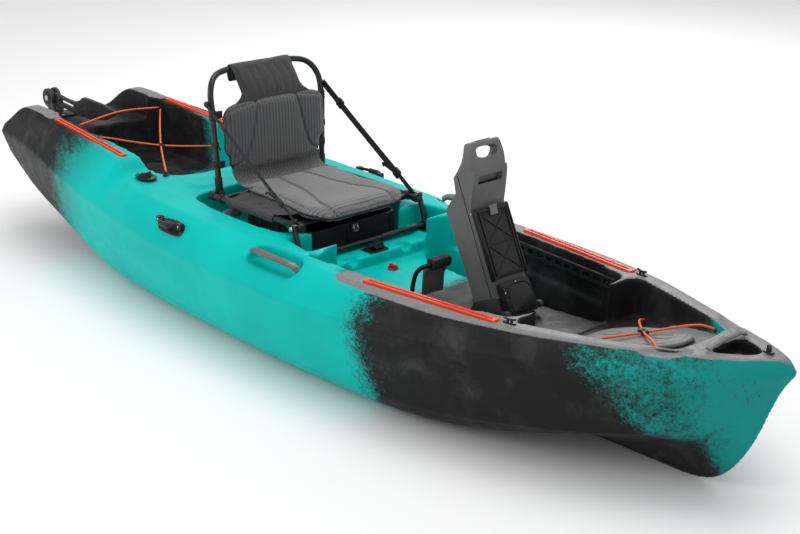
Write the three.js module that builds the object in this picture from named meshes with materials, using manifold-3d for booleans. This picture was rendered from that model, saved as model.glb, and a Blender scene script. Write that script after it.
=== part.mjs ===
// A sit-on-top fishing boat with an electric drive console, a framed fabric seat and a foot-steered rudder.
// Units are millimetres. +X is the bow, +Y is port, +Z is up. The origin is on the flat keel amidships.
import * as THREE from "three";
import { mergeVertices } from "three/addons/utils/BufferGeometryUtils.js";
import Module from "manifold-3d";

const wasm = await Module();
wasm.setup();

// ---------------------------------------------------------------- driving dimensions
const HULL_HALF_LENGTH = 1600;
const WALL = 5; // moulded wall of the hull
const GAP = 0.4; // between pieces that touch
const STERN_DECK_Z = 374;
const TANK = { aft: -1330, front: -612, half: 203, floor: 262 };
const SEAT_WELL = { aft: -440, front: 92, half: 262, floor: 226 };
const STEP = { front: 180, top: 286, notchY: 105, notchRadius: 20 };
const HUMP = { half: 112, top: 246, front: 930 };
const FOOTWELL_FLOOR = 118;
const BOW_WELL = { aft: 925, front: 1345, aftZ: 236, frontZ: 352 };
const TUNNEL = { aft: 590, front: 990, prop: 750, propHalf: 96, half: 52, roof: 222 };
const CONSOLE_FOOT = new THREE.Vector3(735, 0, 250);
const CONSOLE_LEAN = THREE.MathUtils.degToRad(24);
const COLUMN = { x: -42, half: 18, bottom: -112, top: 330 };
const POD = { radius: 34, aft: 666, front: 868, z: 118 };
const PROP = { x: 641, radius: 82, hub: 22, thick: 26 };
const HATCH = { aft: 985, front: 1296, half: 92 };
const RUDDER_HUB = new THREE.Vector3(-1672, 0, 420);
const STEER_PIN_X = -1630;
const BLADE_HALF = 7;
const SEAT = { pivotX: 74, pivotY: 229, railZ: 386, backX: -338, tube: 11 };

// Long lines of the hull, each point being [x, half breadth, height].
const LINES = {
  keel: [
    [-1600, 18, 200], [-1450, 18, 100], [-1300, 18, 48], [-1100, 18, 12], [-900, 18, 0],
    [1330, 8, 0], [1400, 6, 16], [1445, 5, 50], [1490, 4, 115], [1520, 3.5, 180],
    [1550, 3, 262], [1575, 2.5, 322], [1600, 2, 355],
  ],
  crown: [
    [-1600, 90, 226], [-1300, 110, 75], [-1000, 130, 42], [-700, 140, 30], [500, 135, 28],
    [800, 110, 32], [1000, 80, 38], [1150, 52, 40], [1300, 26, 38], [1400, 14, 50],
    [1490, 8, 135], [1550, 5, 272], [1600, 3, 356.5],
  ],
  lobe: [
    [-1600, 160, 232], [-1300, 205, 95], [-1000, 240, 32], [-750, 258, 4], [-500, 262, 0],
    [450, 258, 0], [700, 240, 6], [880, 205, 28], [1000, 170, 50], [1150, 118, 78],
    [1300, 64, 94], [1400, 36, 112], [1490, 18, 178], [1550, 9, 288], [1600, 4, 358],
  ],
  bilge: [
    [-1600, 228, 262], [-1370, 268, 190], [-1100, 310, 141], [-860, 345, 107], [-645, 367, 91],
    [-280, 392, 80], [160, 399, 71], [535, 382, 73], [740, 355, 82], [920, 321, 103],
    [1085, 272, 122], [1230, 205, 140], [1345, 140, 165], [1430, 85, 200], [1490, 50, 245],
    [1550, 22, 312], [1600, 5, 360],
  ],
  rub: [
    [-1600, 262, 350], [-1475, 279, 353], [-1230, 323, 338], [-1060, 353, 318], [-800, 390, 296],
    [-520, 422, 277], [-310, 434, 267], [160, 444, 267], [465, 428, 273], [690, 404, 279],
    [870, 367, 290], [1045, 320, 307], [1200, 259, 316], [1345, 187, 325], [1470, 113, 335],
    [1535, 60, 345], [1600, 6, 362],
  ],
  gunwale: [
    [-1600, 244, 376], [-1420, 244, 467], [-1250, 251, 456], [-1030, 273, 440], [-775, 289, 417],
    [-735, 300, 380], [-570, 348, 373], [-405, 352, 368], [265, 348, 356], [480, 341, 355], [755, 322, 356],
    [965, 281, 360], [1190, 202, 365], [1360, 130, 373], [1485, 71, 382], [1560, 22, 390],
    [1600, 4.5, 368],
  ],
};
const SHOULDER_BULGE = 12; // how far the shoulder crease stands out amidships
const STATIONS = [
  -1600, -1560, -1500, -1420, -1340, -1250, -1140, -1030, -900, -775, -755, -735, -640, -570, -480, -330,
  -150, 50, 260, 480, 620, 755, 870, 965, 1060, 1150, 1230, 1300, 1360, 1420, 1470, 1510, 1545, 1575,
  1600,
];

const COLOURS = {
  hull: [0x16a89c, 0.5, 0], grey: [0x6f7173, 0.55, 0], dark: [0x2a2b2c, 0.55, 0], black: [0x151515, 0.5, 0],
  orange: [0xf2542d, 0.45, 0], fabric: [0x4b4c4e, 0.9, 0], webbing: [0x1c1c1d, 0.85, 0],
  tube: [0x18191a, 0.35, 0.6], steel: [0xb8bbbd, 0.3, 0.9], red: [0xd22a2a, 0.45, 0], pale: [0x9a9c9c, 0.5, 0],
};

// ---------------------------------------------------------------- geometry helpers
// A smooth value through [x, ...] points, read from one column, with no overshoot between them.
function through(points, column) {
  const xs = points.map((p) => p[0]);
  const vs = points.map((p) => p[column]);
  const slopes = xs.slice(1).map((x, i) => (vs[i + 1] - vs[i]) / (x - xs[i]));
  const tangents = vs.map((_, i) => {
    if (i === 0 || i === vs.length - 1) return slopes[Math.min(i, slopes.length - 1)];
    const [a, b] = [slopes[i - 1], slopes[i]];
    return a * b <= 0 ? 0 : (2 * a * b) / (a + b);
  });
  return (x) => {
    let i = xs.findIndex((edge) => x <= edge) - 1;
    if (i < 0) i = x <= xs[0] ? 0 : xs.length - 2;
    const h = xs[i + 1] - xs[i];
    const t = THREE.MathUtils.clamp((x - xs[i]) / h, 0, 1);
    const [t2, t3] = [t * t, t * t * t];
    return (
      (2 * t3 - 3 * t2 + 1) * vs[i] + (t3 - 2 * t2 + t) * h * tangents[i] +
      (3 * t2 - 2 * t3) * vs[i + 1] + (t3 - t2) * h * tangents[i + 1]
    );
  };
}

const lineAt = Object.fromEntries(
  Object.entries(LINES).map(([name, points]) => {
    const breadth = through(points, 1);
    const height = through(points, 2);
    return [name, (x) => [breadth(x), height(x)]];
  }),
);

function solidOf(geometry) {
  const bare = geometry.index ? geometry.toNonIndexed() : geometry.clone();
  bare.deleteAttribute("normal");
  bare.deleteAttribute("uv");
  const merged = mergeVertices(bare, 1e-4);
  return new wasm.Manifold(
    new wasm.Mesh({
      numProp: 3,
      vertProperties: new Float32Array(merged.attributes.position.array),
      triVerts: new Uint32Array(merged.index.array),
    }),
  );
}

function geometryOf(solid) {
  const mesh = solid.getMesh();
  const geometry = new THREE.BufferGeometry();
  geometry.setAttribute("position", new THREE.BufferAttribute(mesh.vertProperties, 3));
  geometry.setIndex(new THREE.BufferAttribute(mesh.triVerts, 1));
  geometry.computeVertexNormals();
  return geometry;
}

const cut = (body, ...tools) => tools.reduce((left, tool) => left.subtract(tool), body);
const join = (body, ...others) => others.reduce((left, other) => left.add(other), body);

function box(x0, x1, y0, y1, z0, z1) {
  const geometry = new THREE.BoxGeometry(x1 - x0, y1 - y0, z1 - z0);
  return geometry.translate((x0 + x1) / 2, (y0 + y1) / 2, (z0 + z1) / 2);
}

// A plan outline of [x, y] points raised from z0 to z1.
function plate(outline, z0, z1) {
  const shape = new THREE.Shape(outline.map(([x, y]) => new THREE.Vector2(x, y)));
  return new THREE.ExtrudeGeometry(shape, { depth: z1 - z0, bevelEnabled: false }).translate(0, 0, z0);
}

// A side outline of [x, z] points carried across from y0 to y1.
function profile(outline, y0, y1) {
  const shape = new THREE.Shape(outline.map(([x, z]) => new THREE.Vector2(x, z)));
  const geometry = new THREE.ExtrudeGeometry(shape, { depth: y1 - y0, bevelEnabled: false });
  return geometry.rotateX(Math.PI / 2).translate(0, y1, 0);
}

// A round bar between two points.
function rod(from, to, radius, sides = 14) {
  const a = new THREE.Vector3(...from);
  const b = new THREE.Vector3(...to);
  const geometry = new THREE.CylinderGeometry(radius, radius, a.distanceTo(b), sides);
  const turn = new THREE.Quaternion().setFromUnitVectors(
    new THREE.Vector3(0, 1, 0),
    b.clone().sub(a).normalize(),
  );
  return geometry.applyQuaternion(turn).translate(...a.add(b).multiplyScalar(0.5).toArray());
}

// A round tube along a smooth curve.
function tube(points, radius, steps, sides = 10) {
  const path = new THREE.CatmullRomCurve3(points.map((p) => new THREE.Vector3(...p)), false, "centripetal");
  const circle = new THREE.Shape(
    Array.from({ length: sides }, (_, i) => {
      const angle = (i / sides) * 2 * Math.PI;
      return new THREE.Vector2(radius * Math.cos(angle), radius * Math.sin(angle));
    }),
  );
  return new THREE.ExtrudeGeometry(circle, { steps, extrudePath: path, bevelEnabled: false });
}

const mirrorY = (points) => [...points, ...points.map(([x, y]) => [x, -y]).reverse()];

// A plan outline moved outwards by d, corner by corner.
function grown(outline, d) {
  const n = outline.length;
  const area = outline.reduce((sum, [x, y], i) => {
    const [x2, y2] = outline[(i + 1) % n];
    return sum + x * y2 - x2 * y;
  }, 0);
  const side = Math.sign(area);
  return outline.map(([x, y], i) => {
    const before = outline[(i + n - 1) % n];
    const after = outline[(i + 1) % n];
    const u = new THREE.Vector2(x - before[0], y - before[1]).normalize();
    const v = new THREE.Vector2(after[0] - x, after[1] - y).normalize();
    const out = new THREE.Vector2(u.y + v.y, -u.x - v.x).multiplyScalar(side);
    const reach = d / Math.max(0.35, 0.5 * out.lengthSq());
    return [x + out.x * reach, y + out.y * reach];
  });
}

// A closed skin through rings of points that all have the same number of points.
function loft(rings) {
  const count = rings[0].length;
  const positions = rings.flat(2);
  const index = [];
  for (let r = 0; r < rings.length - 1; r++) {
    for (let i = 0; i < count; i++) {
      const j = (i + 1) % count;
      const [a, b, c, d] = [r * count + i, r * count + j, (r + 1) * count + j, (r + 1) * count + i];
      index.push(a, b, c, a, c, d);
    }
  }
  for (const [r, flip] of [[0, true], [rings.length - 1, false]]) {
    const ring = rings[r].map(([, y, z]) => new THREE.Vector2(y, z));
    for (const [i, j, k] of THREE.ShapeUtils.triangulateShape(ring, [])) {
      const [a, b, c] = [r * count + i, r * count + j, r * count + k];
      index.push(...(flip ? [a, c, b] : [a, b, c]));
    }
  }
  const geometry = new THREE.BufferGeometry();
  geometry.setAttribute("position", new THREE.Float32BufferAttribute(positions, 3));
  geometry.setIndex(index);
  return geometry;
}

// ---------------------------------------------------------------- hull
// Half of the hull's outline at x, from the keel out and up to the gunwale.
function halfSection(x) {
  const [keel, crown, lobe, bilge, rub, gunwale] = ["keel", "crown", "lobe", "bilge", "rub", "gunwale"].map(
    (name) => lineAt[name](x),
  );
  const amidships = THREE.MathUtils.smoothstep(HULL_HALF_LENGTH - Math.abs(x), 250, 1000);
  const mix = (a, b, t, dy, dz) => [a[0] + (b[0] - a[0]) * t + dy, a[1] + (b[1] - a[1]) * t + dz];
  const bulge = SHOULDER_BULGE * amidships;
  const round = 14 * amidships;
  return [
    keel,
    crown,
    lobe,
    mix(lobe, bilge, 0.6, round, -round),
    bilge,
    mix(bilge, rub, 0.5, round * 0.5, 0),
    rub,
    mix(rub, gunwale, 0.5, bulge * 0.6, bulge),
    gunwale,
  ];
}

// The whole outline at x, shrunk inwards by inset and closed across the top.
function ring(x, inset) {
  const half = halfSection(x).map(([y, z]) => [y, z]);
  const outline = [...half, ...half.map(([y, z]) => [-y, z]).reverse()];
  const moved = inset === 0 ? outline : grown(outline, -inset);
  return moved.map(([y, z]) => [x, y, z]);
}

const openTop = 700;
const slotBelow = (aft, front, half, top) => solidOf(box(aft, front, -half, half, -50, top));
const well = (outline, floor, grow) => solidOf(plate(grown(outline, grow), floor - grow, openTop));

function bowWell(grow) {
  const outline = mirrorY([
    [BOW_WELL.aft, -246], [1000, -226], [1190, -160], [1300, -114], [BOW_WELL.front, -88],
  ]);
  const slope = [
    [BOW_WELL.aft - 10, BOW_WELL.aftZ - grow], [BOW_WELL.front + 10, BOW_WELL.frontZ - grow],
    [BOW_WELL.front + 10, openTop], [BOW_WELL.aft - 10, openTop],
  ];
  return solidOf(plate(grown(outline, grow), 150, openTop)).intersect(solidOf(profile(slope, -300, 300)));
}

function hatchOutline(grow) {
  const length = (HATCH.front - HATCH.aft) / 2 + grow;
  const breadth = HATCH.half + grow;
  const middle = (HATCH.front + HATCH.aft) / 2;
  const points = 24;
  return Array.from({ length: points }, (_, i) => {
    const angle = (i / points) * 2 * Math.PI;
    const squareness = 0.8;
    const c = Math.sign(Math.cos(angle)) * Math.abs(Math.cos(angle)) ** squareness;
    const s = Math.sign(Math.sin(angle)) * Math.abs(Math.sin(angle)) ** squareness;
    const taper = 1 - 0.16 * c;
    return [middle + length * c, breadth * s * taper];
  });
}

// Everything that is hollowed out of the hull from above or below, as solids grown by the wall.
function hollows(grow) {
  const rims = [-1, 1];
  const footwell = [
    [196, 118], [196, 268], [400, 284], [880, 238], [915, 205], [915, 118],
  ];
  const tunnelTop = TUNNEL.roof + grow;
  return [
    well(mirrorY([[-1700, -186], [TANK.aft + 20, -186]]), STERN_DECK_Z, grow),
    well(
      mirrorY([
        [TANK.aft, -150], [TANK.aft + 50, -TANK.half], [TANK.front - 70, -TANK.half], [TANK.front, -120],
      ]),
      TANK.floor,
      grow,
    ),
    well(
      mirrorY([
        [SEAT_WELL.aft, -215], [SEAT_WELL.aft + 35, -SEAT_WELL.half], [SEAT_WELL.front, -SEAT_WELL.half],
      ]),
      SEAT_WELL.floor,
      grow,
    ),
    well(mirrorY([[SEAT_WELL.front - 2, -SEAT_WELL.half], [STEP.front + 2, -285]]), STEP.top, grow),
    well(
      mirrorY([[STEP.front, -285], [400, -298], [HUMP.front, -246]]),
      HUMP.top,
      grow,
    ),
    ...rims.map((side) => well(footwell.map(([x, y]) => [x, side * y]), FOOTWELL_FLOOR, grow)),
    bowWell(grow),
    well(mirrorY([[1398, -58], [1430, -50], [1496, -12]]), 338, grow),
    slotBelow(TUNNEL.aft - grow, TUNNEL.prop + grow, TUNNEL.propHalf + grow, tunnelTop),
    slotBelow(TUNNEL.aft + 1, TUNNEL.front + grow, TUNNEL.half + grow, tunnelTop),
    solidOf(box(662 - grow, 740 + grow, -28 - grow, 28 + grow, 150, 300)),
    ...rims.map((side) => solidOf(rodHolderBore(side, 21 + grow, 150 + grow))),
    ...rims.map((side) => solidOf(sidePocket(side, grow))),
    ...rims.flatMap((side) => [
      solidOf(rod([620, side * 190, -20], [620, side * 190, 200], 17 + grow)),
      solidOf(rod([-1150, side * 120, -20], [-1150, side * 120, 300], 17 + grow)),
    ]),
  ];
}

// Slanting flush rod holder, aft of the seat, leaning outwards and aft.
const ROD_HOLDER = { x: -662, y: 262, z: 379, lean: [-0.42, 0.1, 0.9] };
function rodHolderBore(side, radius, depth) {
  const lean = new THREE.Vector3(ROD_HOLDER.lean[0], ROD_HOLDER.lean[1] * side, ROD_HOLDER.lean[2]).normalize();
  const mouth = new THREE.Vector3(ROD_HOLDER.x, side * ROD_HOLDER.y, ROD_HOLDER.z);
  const top = mouth.clone().addScaledVector(lean, 60);
  const foot = mouth.clone().addScaledVector(lean, -depth);
  return rod(foot.toArray(), top.toArray(), radius, 16);
}

// Scooped hand hold in the shoulder beside the seat.
const POCKET = { aft: 40, front: 262, inner: 330, floor: 316 };
function sidePocket(side, grow) {
  const outline = [
    [POCKET.aft - grow, POCKET.inner - grow], [POCKET.front + grow, POCKET.inner - grow],
    [POCKET.front - 30 + grow, 470], [POCKET.aft + 10 - grow, 470],
  ];
  return plate(outline.map(([x, y]) => [x, side * y]), POCKET.floor - grow, openTop);
}

function hull() {
  const outer = solidOf(loft(STATIONS.map((x) => ring(x, 0))));
  const inside = [
    -1588, -1500, -1420, -1250, -1030, -770, -635, -570, -330, 50, 480, 755, 965, 1150, 1300, 1400, 1450,
  ];
  const cavity = cut(solidOf(loft(inside.map((x) => ring(x, WALL)))), ...hollows(WALL));
  const hatchHole = solidOf(hatchPlate(-14 + GAP, -60, 60));
  const notches = [-1, 1].map((side) => {
    const [aft, front] = [-30, 10].map((dx) => [STEP.front + dx, side * STEP.notchY, STEP.top]);
    return solidOf(rod(aft, front, STEP.notchRadius));
  });
  const bedFor = (track) => solidOf(trackBlock(track, -GAP, TRACK.half + GAP, -TRACK.sunk - GAP, 60));
  return cut(outer, ...hollows(0), ...notches, ...TRACKS.map(bedFor), cavity, hatchHole);
}

// ---------------------------------------------------------------- gear tracks on the gunwales
const TRACK = { half: 11, rise: 4, sunk: 9, slotHalf: 3.5 };
const TRACKS = [
  { name: "gear_track_aft", from: [-1245, 231, 455.5], to: [-800, 250, 420.5] },
  { name: "gear_track_forward", from: [465, 321, 357], to: [905, 271, 357] },
].flatMap(({ name, from, to }) =>
  [["starboard", -1], ["port", 1]].map(([word, side]) => ({
    name: `${name}_${word}`,
    from: new THREE.Vector3(from[0], side * from[1], from[2]),
    to: new THREE.Vector3(to[0], side * to[1], to[2]),
  })),
);

// A straight block along the track's line, in the track's own lengthwise, crosswise and upward spans.
function trackBlock({ from, to }, trim, half, bottom, top) {
  const along = to.clone().sub(from);
  const length = along.length();
  const across = new THREE.Vector3(0, 0, 1).cross(along).normalize();
  const up = along.clone().normalize().cross(across);
  const turn = new THREE.Matrix4().makeBasis(along.clone().normalize(), across, up).setPosition(from);
  return box(trim, length - trim, -half, half, bottom, top).applyMatrix4(turn);
}

function gearTrack(track) {
  const bar = trackBlock(track, 0, TRACK.half, -TRACK.sunk, TRACK.rise);
  return cut(solidOf(bar), solidOf(trackBlock(track, 14, TRACK.slotHalf, -3, TRACK.rise + 5)));
}

// ---------------------------------------------------------------- deck fittings
function hatchRim() {
  const collar = solidOf(hatchPlate(-14, -18, 4));
  return cut(join(collar, solidOf(hatchPlate(-4, GAP, 4))), solidOf(hatchPlate(-26, -40, 30)));
}

function hatchLid() {
  return join(solidOf(hatchPlate(0, 4.5, 15)), solidOf(hatchPlate(-14, 14, 21)));
}

// A plate with the hatch's outline, lying on the sloping floor of the bow well.
const BOW_SLOPE = Math.atan2(BOW_WELL.frontZ - BOW_WELL.aftZ, BOW_WELL.front - BOW_WELL.aft + 20);
function bowFloorZ(x) {
  return BOW_WELL.aftZ + (x - BOW_WELL.aft + 10) * Math.tan(BOW_SLOPE);
}
function hatchPlate(grow, low, high) {
  const middle = (HATCH.front + HATCH.aft) / 2;
  const flat = hatchOutline(grow).map(([x, y]) => [(x - middle) / Math.cos(BOW_SLOPE), y]);
  return plate(flat, low, high).rotateY(-BOW_SLOPE).translate(middle, 0, bowFloorZ(middle));
}

const bowGrip = () =>
  tube([[1408, -70, 385], [1410, -54, 391], [1413, 0, 398], [1410, 54, 391], [1408, 70, 385]], 7, 16, 10);

function padEye(x, y, z, height) {
  const foot = solidOf(box(x - 13, x + 13, y - 6, y + 6, z, z + 4));
  const side = [[x - 7, z + 3], [x + 7, z + 3], [x + 5, z + height], [x - 5, z + height]];
  const ear = solidOf(profile(side, y - 2.5, y + 2.5));
  return cut(join(foot, ear), solidOf(rod([x, y - 9, z + height - 6], [x, y + 9, z + height - 6], 2.6, 8)));
}

function footRail(side) {
  const y = side * 287;
  const toward = side * 236;
  const outline = [[420, y], [880, toward], [880, toward - side * 9], [420, y - side * 9]];
  const bar = solidOf(plate(outline, 302, 336));
  const slots = Array.from({ length: 11 }, (_, i) => 445 + i * 39).map((x) =>
    solidOf(box(x, x + 22, Math.min(side * 200, side * 320), Math.max(side * 200, side * 320), 312, 326)),
  );
  return cut(bar, ...slots);
}

function rodHolder(side) {
  const { x, y, z, lean } = ROD_HOLDER;
  const tilt = new THREE.Vector3(lean[0], side * lean[1], lean[2]).normalize();
  const at = (distance) => new THREE.Vector3(x, side * y, z).addScaledVector(tilt, distance).toArray();
  const flangeOutline = Array.from({ length: 20 }, (_, i) => {
    const angle = (i / 20) * 2 * Math.PI;
    return [x + 2 + 44 * Math.cos(angle), side * y + 29 * Math.sin(angle)];
  });
  const flange = solidOf(plate(flangeOutline, z + 2, z + 7));
  const above = box(x - 90, x + 90, side * y - 60, side * y + 60, z + 7, z + 90);
  const barrel = cut(solidOf(rod(at(-140), at(30), 20.4, 20)), solidOf(above));
  return cut(join(barrel, flange), solidOf(rod(at(-134), at(60), 17.5, 20)));
}

const sideGrip = (side) => {
  const rise = [[62, 376, 340], [66, 384, 352], [152, 389, 352], [238, 384, 348], [242, 376, 334]];
  return tube(rise.map(([x, y, z]) => [x, side * y, z]), 7, 18, 8);
};

// Folding carry handle on the shoulder: a bracket on the hull and a bail that swings on it.
const CARRY = { x: -322, y: 405, z: 343, half: 52 };
function carryBracket(side) {
  const { x, y, z, half } = CARRY;
  const lugs = [-half, half].map((dx) =>
    solidOf(box(x + dx - 9, x + dx + 9, side * y - 9, side * y + 9, z - 9, z + 9)),
  );
  const spine = solidOf(box(x - half, x + half, side * (y - 5) - 3.5, side * (y - 5) + 3.5, z - 8, z - 1));
  return join(spine, ...lugs);
}
const carryBail = (side) => {
  const { x, y, z, half } = CARRY;
  const inner = half - 15;
  return solidOf(tube(
    [
      [x - inner, side * y, z + 5], [x - inner + 2, side * (y + 7), z + 3],
      [x - inner + 14, side * (y + 21), z - 2], [x + inner - 14, side * (y + 21), z - 2],
      [x + inner - 2, side * (y + 7), z + 3], [x + inner, side * y, z + 5],
    ],
    4.5, 20, 8,
  ));
};

function tankMat() {
  const outline = mirrorY([[-1130, -70], [-1100, -96], [-830, -96], [-790, -60]]);
  return solidOf(plate(outline, TANK.floor + GAP, TANK.floor + 5));
}

// Shock cords: each one is pulled tight between its ends over whatever it holds down.
const CORD = 3.2;
const rudderBungee = () => tube([[-1155, -196, 446], [-1205, 0, 452], [-1240, 188, 430]], CORD, 12, 8);
const tankBungee = () =>
  join(
    solidOf(tube([[-1036, -196, 428], [-956, 0, 379], [-900, 198, 352]], CORD, 14, 8)),
    solidOf(tube([[-1240, 195, 422], [-1100, 96, 402], [-956, 0, 378], [-650, -190, 385]], CORD, 18, 8)),
    solidOf(box(-970, -942, -11, 11, 372, 385)),
  );
function bowBungee() {
  const strand = (side, lift) => {
    const at = (x, y, rise) => [x, side * y, bowFloorZ(x) + rise];
    const points = [
      at(1030, 168, 14), at(1060, 110, 29), at(1157, 0, lift), at(1262, -92, 29), at(1292, -112, 14),
    ];
    return solidOf(tube(points, CORD, 24, 8));
  };
  const z = bowFloorZ(1157);
  return join(strand(-1, 29), strand(1, 32), solidOf(box(1143, 1171, -11, 11, z + 26, z + 37)));
}

const PLUG_X = 231;
const drainPlug = () => {
  const cap = solidOf(rod([PLUG_X, 0, HUMP.top + GAP], [PLUG_X, 0, HUMP.top + 7], 17, 20));
  return join(cap, solidOf(box(PLUG_X - 13, PLUG_X + 13, -5, 5, HUMP.top + 6, HUMP.top + 16)));
};

// Seat lock on the step: a base with a thumb lever on a hinge.
const STEP_LATCH = { x: 150, z: STEP.top + GAP };
const stepLatchBase = () => {
  const { x, z } = STEP_LATCH;
  const cheeks = [-26, 26].map((y) => solidOf(box(x - 8, x + 8, y - 4, y + 4, z + 3, z + 18)));
  return join(solidOf(box(x - 24, x + 24, -36, 36, z, z + 4)), ...cheeks);
};
const stepLatchLever = () => {
  const { x, z } = STEP_LATCH;
  return join(
    solidOf(rod([x, -21, z + 13], [x, 21, z + 13], 6, 12)),
    solidOf(profile([[x, z + 8], [x + 26, z + 12], [x + 26, z + 17], [x, z + 18]], -16, 16)),
  );
};

// ---------------------------------------------------------------- rudder
const rudderBracket = () => {
  const flange = solidOf(box(-1606, -1530, -44, 44, STERN_DECK_Z + GAP, STERN_DECK_Z + 6));
  const drop = solidOf(box(-1606.5, -1600.5, -44, 44, 322, STERN_DECK_Z + 6));
  const boss = solidOf(rod([STEER_PIN_X, 0, 322], [STEER_PIN_X, 0, 346], 15, 20));
  const web = solidOf(box(STEER_PIN_X, -1602, -10, 10, 322, 346));
  const bore = solidOf(rod([STEER_PIN_X, 0, 300], [STEER_PIN_X, 0, 400], 5.4, 16));
  return cut(join(flange, drop, boss, web), bore);
};

const rudderYoke = () => {
  const { x, z } = RUDDER_HUB;
  const cheeks = [-1, 1].flatMap((side) => {
    const [near, far] = [side * 8.5, side * 20].sort((a, b) => a - b);
    const lug = [
      [x - 8, z - 32], [x + 30, z - 12], [STEER_PIN_X + 10, 372], [STEER_PIN_X + 10, 347],
      [STEER_PIN_X - 14, 347],
    ];
    return [solidOf(rod([x, near, z], [x, far, z], 35, 28)), solidOf(profile(lug, near, far))];
  });
  const base = solidOf(rod([STEER_PIN_X, 0, 347], [STEER_PIN_X, 0, 372], 14, 20));
  const arm = solidOf(box(STEER_PIN_X - 24, STEER_PIN_X - 8, -44, 44, 347, 354));
  return cut(
    join(...cheeks, base, arm),
    solidOf(rod([x, -30, z], [x, 30, z], 6.4, 16)),
    solidOf(rod([STEER_PIN_X, 0, 300], [STEER_PIN_X, 0, 400], 5.4, 16)),
  );
};

const steerPin = () =>
  join(
    solidOf(rod([STEER_PIN_X, 0, 314], [STEER_PIN_X, 0, 380], 5, 16)),
    solidOf(rod([STEER_PIN_X, 0, 314], [STEER_PIN_X, 0, 321], 9, 16)),
  );

const hubPin = () => {
  const { x, z } = RUDDER_HUB;
  return join(solidOf(rod([x, -23, z], [x, 23, z], 6, 16)), solidOf(rod([x, -25, z], [x, -20.4, z], 10, 16)));
};

const rudderBlade = () => {
  const { x, z } = RUDDER_HUB;
  const outline = [
    [x, z + 24], [x + 24, z + 22], [x + 112, z + 13], [x + 170, z + 12], [x + 208, z + 26], [x + 230, z + 40],
    [x + 258, z + 40], [x + 372, z + 36], [x + 446, z + 26], [x + 449, z + 18], [x + 372, z - 18],
    [x + 280, z - 34], [x + 160, z - 32], [x + 110, z - 26], [x, z - 26],
  ];
  const slot = [
    [x + 66, z + 2], [x + 70, z - 8], [x + 158, z - 14], [x + 164, z - 8], [x + 160, z - 1], [x + 72, z + 7],
  ];
  const hub = solidOf(rod([x, -BLADE_HALF, z], [x, BLADE_HALF, z], 27, 24));
  return cut(
    join(solidOf(profile(outline, -BLADE_HALF, BLADE_HALF)), hub),
    solidOf(profile(slot, -20, 20)),
    solidOf(rod([x, -30, z], [x, 30, z], 6.4, 16)),
  );
};

// ---------------------------------------------------------------- drive console
// The console's own frame leans aft over its foot; local x is forward, local z runs up the housing.
const HOUSING_HALF = 66;
const SEAM_X = -16;
const consoleRear = () => {
  const outer = [
    [SEAM_X - GAP, 60], [SEAM_X - GAP, 410], [-34, 410], [-42, 368], [-100, 330], [-92, 178], [-88, 60],
  ];
  const inner = [
    [SEAM_X + 5, 50], [SEAM_X + 5, 405], [-30, 405], [-38, 365], [-95, 327], [-87, 178], [-84, 50],
  ];
  return cut(
    solidOf(profile(outer, -HOUSING_HALF, HOUSING_HALF)),
    solidOf(profile(inner, -HOUSING_HALF + 4, HOUSING_HALF - 4)),
  );
};

const consoleFront = () => {
  const outer = [[SEAM_X, 60], [0, 60], [-3, 310], [14, 338], [46, 400], [44, 410], [SEAM_X, 410]];
  const inner = [[SEAM_X - 5, 50], [-4, 50], [-7, 311], [10, 340], [38, 396], [38, 405], [SEAM_X - 5, 405]];
  return cut(
    solidOf(profile(outer, -HOUSING_HALF, HOUSING_HALF)),
    solidOf(profile(inner, -HOUSING_HALF + 4, HOUSING_HALF - 4)),
  );
};

const consoleHandle = () => {
  const side = [[-33, 411], [47, 411], [51, 440], [54, 478], [50, 486], [29, 486], [23, 472], [13, 446]];
  return cut(
    solidOf(profile(side, -HOUSING_HALF + 1, HOUSING_HALF - 1)),
    solidOf(box(-50, 70, -40, 40, 440, 470)),
  );
};

const consoleCover = () => solidOf(profile([[0.4, 112], [13, 112], [9, 300], [-2.2, 304]], -62, 62));

const coverLatch = () => {
  const tongue = [[11, 284], [16, 284], [18, 308], [11, 308]];
  return join(solidOf(rod([14, -16, 308], [14, 16, 308], 4, 10)), solidOf(profile(tongue, -14, 14)));
};

const consoleFootBox = () => solidOf(profile([[0.4, 1], [31, 3], [24, 84], [20, 98], [0.4, 98]], -53, 53));

const consoleBase = () =>
  cut(
    solidOf(profile([[-0.2, -2.6], [-0.2, 59], [-96, 59], [-112, 52], [-110, 46.4]], -64, 64)),
    solidOf(box(COLUMN.x - COLUMN.half - 2, COLUMN.x + COLUMN.half + 2, -21, 21, -60, 90)),
  );

const speedKnob = () => {
  const normal = new THREE.Vector3(-38, 0, 58).normalize();
  const centre = new THREE.Vector3(-71, 0, 349);
  const at = (d) => centre.clone().addScaledVector(normal, d).toArray();
  return join(solidOf(rod(at(0.6), at(5), 25, 24)), solidOf(rod(at(4), at(18), 19, 18)));
};

// ---------------------------------------------------------------- motor and propeller
const driveColumn = () => {
  const { x, half, bottom, top } = COLUMN;
  const bore = box(x - half + 5, x + half - 5, -12, 12, bottom + 8, top + 10);
  return cut(solidOf(box(x - half, x + half, -17, 17, bottom, top)), solidOf(bore));
};

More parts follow.
